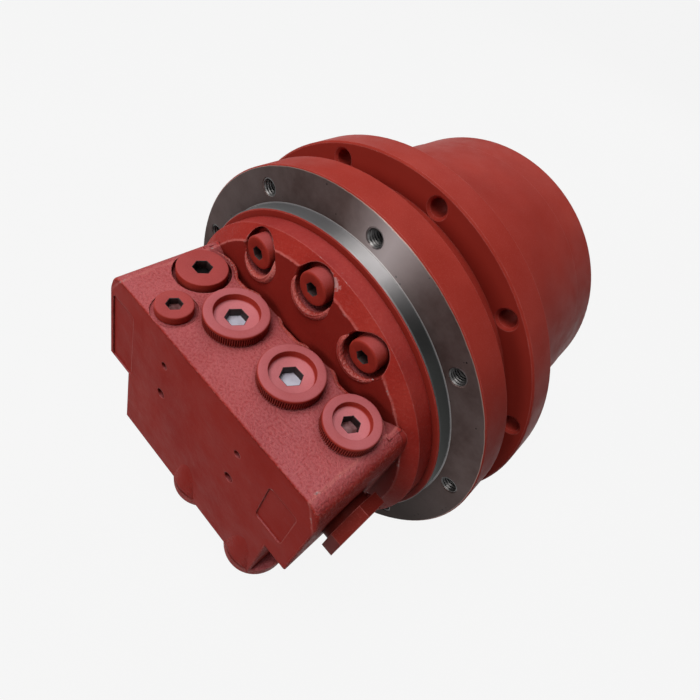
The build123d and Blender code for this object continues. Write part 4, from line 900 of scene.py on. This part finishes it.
# cast lips round the screw pockets
lipLook = {
    "pocket": 12.0, "halfSpan": 82.0, "steps": 40,
    "wallRadius": 89.0, "wallFace": -25.5, "slope": 6.0 / 35.0,
    "section": ((-0.6, -2.2), (-0.3, 1.2), (0.5, 2.2), (1.7, 2.1), (3.2, 0.9), (5.2, -1.2)),  # outward, lift
    "endWidth": 0.35,
    "endSink": 0.5,
}


def wallFaceAt(look, radius):
    return look["wallFace"] - look["slope"] * (look["wallRadius"] - min(radius, look["wallRadius"]))


def lipRow(build, look, middle, ray, fade):
    row = []
    for out, lift in look["section"]:
        width = look["endWidth"] + (1 - look["endWidth"]) * fade
        point = middle + ray * (look["pocket"] + out * width)
        lifted = lift * fade - look["endSink"] * (1 - fade)
        point.y = wallFaceAt(look, math.hypot(point.x, point.z)) - lifted
        row.append(build.verts.new(point * mm))
    return row


def addPocketLips(look):
    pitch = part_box("head_screws")[1].z / mm - screwLook["radius"]
    build = bmesh.new()
    for turn in screwLook["turns"]:
        middle = Vector(onCircle(pitch, turn, 0))
        outward = middle.normalized()
        sideways = Vector((outward.z, 0, -outward.x))
        rows = []
        for step in range(look["steps"] + 1):
            share = 2 * step / look["steps"] - 1
            angle = math.radians(180 + share * look["halfSpan"])
            ray = outward * math.cos(angle) + sideways * math.sin(angle)
            fade = 1 - abs(share) ** 3  # the lip dies away into the wall at both ends
            rows.append(lipRow(build, look, middle, ray, fade))
        skin(build, rows)
        closeEnds(build, rows)
    piece = pieceFrom("pocketLips", build, ("highlitLipPrimer",))
    soften = piece.modifiers.new("soften", "SUBSURF")
    soften.levels = 1
    soften.render_levels = 1
    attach(piece, "housing")


addPocketLips(lipLook)
print("pocket lips ready")

# rounded bead along the back edge of the plug face
rimLook = {
    "reliefBoss": 23.7, "outerBoss": 18.5, "valleyFront": -33.0, "halfWidth": 72.5, "steps": 240,
    "tube": 1.25, "around": 10, "sink": 0.55, "inset": 0.75, "smoothing": 6,
    "endTube": 0.15, "endGrowth": 8,
}


def rimBosses(look):
    reaches = {
        "relief_plugs": look["reliefBoss"],
        "shuttle_plug": look["outerBoss"],
        "speed_plug": look["outerBoss"],
    }
    bosses = []
    for node, reach in reaches.items():
        low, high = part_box(node)
        half = (high.y - low.y) / 2
        middle = (high.y + low.y) / 2
        ends = {round(low.x + half, 5), round(high.x - half, 5)}
        bosses += [(x / mm, middle / mm, reach) for x in ends]
    return bosses


def rimLine(look):
    bosses = rimBosses(look)
    depth = []
    for step in range(look["steps"] + 1):
        x = look["halfWidth"] * (2 * step / look["steps"] - 1)
        y = look["valleyFront"]
        for centreX, centreY, reach in bosses:
            if abs(x - centreX) < reach:
                y = max(y, centreY + math.sqrt(reach ** 2 - (x - centreX) ** 2))
        depth.append([x, y])
    for _ in range(look["smoothing"]):  # casting rounds the hollows between the bosses
        for index in range(1, len(depth) - 1):
            depth[index][1] = (depth[index - 1][1] + 2 * depth[index][1] + depth[index + 1][1]) / 4
    return depth


def addRimBead(look):
    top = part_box("relief_plugs")[1].z / mm - reliefLook["height"]
    build = bmesh.new()
    rows = []
    line = rimLine(look)
    for index, (x, y) in enumerate(line):
        before = Vector(line[max(index - 1, 0)])
        after = Vector(line[min(index + 1, len(line) - 1)])
        run = (after - before).normalized()
        across = Vector((-run.y, run.x))
        fromEnd = min(index, len(line) - 1 - index) / len(line)  # the bead thins out at both ends
        tube = look["tube"] * min(1.0, look["endTube"] + look["endGrowth"] * fromEnd)
        row = []
        for step in range(look["around"]):
            angle = 2 * math.pi * step / look["around"]
            out = across * (tube * math.cos(angle) - look["inset"])
            lift = tube * math.sin(angle) - look["sink"]
            row.append(build.verts.new(mm * Vector((x + out.x, y + out.y, top + lift))))
        rows.append(row)
    skin(build, rows)
    closeEnds(build, rows)
    piece = pieceFrom("rimBead", build, ("highlitLipPrimer",))
    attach(piece, "housing")


addRimBead(rimLook)
print("rim bead ready")

# soft ramps where the valley behind the plugs runs out
valleyEndLook = {
    "from": 57.0, "to": 74.0, "front": -34.6, "back": -24.9, "floor": 48.7, "top": 54.2,
    "dip": 1.1, "sink": 1.5, "steps": 24, "across": 10,
}


def valleyRow(build, look, x, share):
    climb = share * share * (3 - 2 * share)
    top = look["floor"] + (look["top"] - look["floor"]) * climb
    row = []
    for cut in range(look["across"] + 1):
        part = cut / look["across"]
        y = look["front"] + (look["back"] - look["front"]) * part
        z = top - look["dip"] * climb * math.sin(math.pi * part)
        row.append(build.verts.new(mm * Vector((x, y, z))))
    for y in (look["back"], look["front"]):
        row.append(build.verts.new(mm * Vector((x, y, look["floor"] - look["sink"]))))
    return row


def addValleyEnds(look):
    build = bmesh.new()
    for side in (-1, 1):
        rows = []
        for step in range(look["steps"] + 1):
            share = step / look["steps"]
            x = side * (look["from"] + (look["to"] - look["from"]) * share)
            rows.append(valleyRow(build, look, x, share))
        skin(build, rows, look["across"])
        closeEnds(build, rows)
    piece = pieceFrom("valleyEnds", build, ("castPrimer",))
    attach(piece, "housing")


addValleyEnds(valleyEndLook)
print("valley ends ready")

# blends that carry the end face over the port bosses
lobeLook = {
    "centres": (2.0, 54.0), "centreY": -80.0, "radius": 19.5, "low": -52.2, "rise": 30.0, "halfSpan": 33.0,
    "faceLow": (-97.0, -56.0), "faceTop": (-83.9, 54.0),  # two points of the leaning end face, y and z
    "arch": 1.02, "steps": 28, "rows": 8, "sink": 0.35, "back": 1.05,
}


def endFaceAt(look, z):
    lowY, lowZ = look["faceLow"]
    topY, topZ = look["faceTop"]
    return lowY + (topY - lowY) * (z - lowZ) / (topZ - lowZ)


def lobeRow(build, look, centre, share):
    angle = math.radians(share * look["halfSpan"])
    x = centre + look["radius"] * math.sin(angle)
    rimY = look["centreY"] - look["radius"] * math.cos(angle)
    stand = min(rimY - endFaceAt(look, look["low"]), 0.0)
    tall = look["rise"] * (look["arch"] - share * share)  # arch where the lobe leaves the end face
    front = []
    back = []
    for step in range(look["rows"] + 1):
        part = step / look["rows"]
        z = look["low"] + tall * part
        flush = endFaceAt(look, z) + look["sink"]
        frontY = flush + (stand - look["sink"]) * (1 - part)
        front.append(build.verts.new(mm * Vector((x, frontY, z))))
        back.append(build.verts.new(mm * Vector((x, flush + look["back"], z))))
    return front + back[::-1]


def addPortLobes(look):
    build = bmesh.new()
    for centre in look["centres"]:
        rows = []
        for step in range(look["steps"] + 1):
            rows.append(lobeRow(build, look, centre, 2 * step / look["steps"] - 1))
        skin(build, rows, look["rows"])
        closeEnds(build, rows)
    piece = pieceFrom("portLobes", build, ("shadedLobePrimer",))
    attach(piece, "housing")


addPortLobes(lobeLook)
print("port lobes ready")

# threads in the frame flange's tapped holes
tapLook = {
    "count": 9, "start": 3.1, "pitchRadius": 110.5, "mouth": 0.45, "depth": 19.5,
    "outer": 5.09, "root": 5.02, "crest": 4.35, "pitch": 1.75, "around": 40, "perPitch": 6,
}


def threadRadius(look, along, turn):
    phase = (along / look["pitch"] + turn) % 1.0
    swing = abs(2 * phase - 1)  # sharp V of the thread
    return look["crest"] + (look["root"] - look["crest"]) * swing


def threadRings(build, look, x, z):
    length = look["depth"] - look["mouth"]
    rows = int(length / look["pitch"] * look["perPitch"])
    rings = []
    for row in range(rows + 3):  # the last two rings close the sleeve on its outside
        along = look["mouth"] + length * min(row, rows) / rows
        height = along if row <= rows + 1 else look["mouth"]
        ring = []
        for step in range(look["around"]):
            turn = step / look["around"]
            reach = threadRadius(look, along, turn) if row <= rows else look["outer"]
            angle = 2 * math.pi * turn
            point = Vector((x + reach * math.cos(angle), height, z + reach * math.sin(angle)))
            ring.append(build.verts.new(mm * point))
        rings.append(ring)
    return rings


def addThreads(look):
    build = bmesh.new()
    for index in range(look["count"]):
        x, _, z = onCircle(look["pitchRadius"], look["start"] + index * 360 / look["count"], 0)
        rings = threadRings(build, look, x, z)
        skin(build, rings + rings[:1], 0)
    piece = pieceFrom("tappedThreads", build, ("tappedSteel",))
    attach(piece, "housing")


addThreads(tapLook)
print("tapped holes ready")

cameraSetup = {
    "place": (0.092529, -0.155885, 0.240502),
    "right": (0.679300, 0.680216, 0.275423),
    "down": (0.680005, -0.442315, -0.584765),
    "forward": (-0.275943, 0.584520, -0.763015),
    "focalPixels": 463.95,
    "framePixels": 700.0,
    "sensor": 36.0,
    "clipStart": 5 * mm,
}


def addCamera(setup):
    data = bpy.data.cameras.new("photoCamera")
    data.sensor_width = setup["sensor"]
    data.lens = setup["focalPixels"] / setup["framePixels"] * setup["sensor"]
    data.clip_start = setup["clipStart"]
    cam = bpy.data.objects.new("photoCamera", data)
    axes = (Vector(setup["right"]), -Vector(setup["down"]), -Vector(setup["forward"]))
    turn = Matrix([axis.normalized() for axis in axes]).transposed().to_4x4()
    cam.matrix_world = Matrix.Translation(setup["place"]) @ turn
    bpy.context.scene.collection.objects.link(cam)
    bpy.context.scene.camera = cam


addCamera(cameraSetup)

lampSetup = {
    "topKey": {
        "place": (-0.20, -0.30, 1.06), "size": 0.7, "power": 8.8, "colour": (1.0, 0.98, 0.95), "glint": True,
    },
    "backWindow": {
        "place": (-0.33, 0.70, 0.92), "size": 0.8, "power": 2.8, "colour": (0.90, 0.95, 1.0), "glint": True,
    },
    "frontFill": {
        "place": (-0.20, -1.00, 0.50), "size": 0.45, "power": 2.9, "colour": (1.0, 0.97, 0.93), "glint": True,
    },
    "coverFill": {  # lights the cover without a glint on the drum
        "place": (-0.10, 1.55, 0.62), "size": 0.5, "power": 5.0, "colour": (1.0, 0.98, 0.95), "glint": False,
    },
}


def addLamps(setup):
    for name, look in setup.items():
        data = bpy.data.lights.new(name, "AREA")  # a soft round lamp aimed at the drive
        data.shape = "DISK"
        data.size = look["size"]
        data.energy = look["power"]
        data.color = look["colour"]
        lamp = bpy.data.objects.new(name, data)
        lamp.location = look["place"]
        lamp.visible_camera = False
        lamp.visible_glossy = look["glint"]
        lamp.rotation_euler = (-Vector(look["place"])).to_track_quat("-Z", "Y").to_euler()
        bpy.context.scene.collection.objects.link(lamp)


addLamps(lampSetup)

floorLook = {
    "gap": 1 * mm, "reach": 4.0, "sweep": 2.0, "height": 4.5, "around": 96, "rings": 10,
    "dark": 0.22, "pale": 0.26, "tintScale": 5.0, "tintStops": (0.3, 0.7),
    "roughness": 0.9, "specular": 0.1, "whiteShare": 0.90,
}


def palePaper(look):
    mat, tree, shader = newMaterial("palePaper")
    shader.inputs["Roughness"].default_value = look["roughness"]
    shader.inputs["Specular IOR Level"].default_value = look["specular"]
    greys = [(grey,) * 3 for grey in (look["dark"], look["pale"])]
    tint = ramp(tree, noise(tree, coords(tree), look["tintScale"]), list(zip(look["tintStops"], greys)))
    tree.links.new(tint, shader.inputs["Base Color"])
    glow = tree.nodes.new("ShaderNodeEmission")
    glow.inputs[1].default_value = 1.0
    path = tree.nodes.new("ShaderNodeLightPath")
    seen = most(tree, path.outputs["Is Camera Ray"], path.outputs["Is Glossy Ray"])
    seen = most(tree, seen, path.outputs["Is Transmission Ray"])
    blend = tree.nodes.new("ShaderNodeMixShader")  # white where it is seen, with the shadow left in
    tree.links.new(times(tree, seen, look["whiteShare"]), blend.inputs[0])
    tree.links.new(shader.outputs[0], blend.inputs[1])
    tree.links.new(glow.outputs[0], blend.inputs[2])
    out = next(node for node in tree.nodes if node.type == "OUTPUT_MATERIAL")
    tree.links.new(blend.outputs[0], out.inputs[0])
    return mat


def paperProfile(look):
    profile = [(look["reach"] * step / look["rings"], 0.0) for step in range(1, look["rings"] + 1)]
    for step in range(1, look["rings"] + 1):  # the paper sweeps up into a wall all round
        angle = math.pi / 2 * step / look["rings"]
        out = look["reach"] + look["sweep"] * math.sin(angle)
        profile.append((out, look["sweep"] * (1 - math.cos(angle))))
    profile.append((look["reach"] + look["sweep"], look["height"]))
    return profile


def addFloor(look):
    mesh = bpy.data.meshes.new("paleFloor")
    build = bmesh.new()
    turns = [2 * math.pi * step / look["around"] for step in range(look["around"])]
    rows = []
    for out, height in paperProfile(look):
        ring = [(out * math.cos(turn), out * math.sin(turn), height) for turn in turns]
        rows.append([build.verts.new(point) for point in ring])
    build.faces.new(rows[0])
    for inner, outer in zip(rows, rows[1:]):
        for step in range(look["around"]):
            after = (step + 1) % look["around"]
            build.faces.new((inner[step], outer[step], outer[after], inner[after])).smooth = True
    build.to_mesh(mesh)
    build.free()
    floor = bpy.data.objects.new("paleFloor", mesh)
    floor.location = (0, 0, cadBox[0][2] - look["gap"])
    bpy.context.scene.collection.objects.link(floor)
    mesh.materials.append(palePaper(look))


addFloor(floorLook)

worldLook = {"colour": (0.95, 0.97, 1.0, 1.0), "strength": 0.07}
world = bpy.data.worlds.new("studioWorld")
bpy.context.scene.world = world
world.use_nodes = True
world.node_tree.nodes["Background"].inputs[0].default_value = worldLook["colour"]
world.node_tree.nodes["Background"].inputs[1].default_value = worldLook["strength"]
bpy.context.scene.view_settings.view_transform = "Standard"
print("camera, lamps and floor ready")
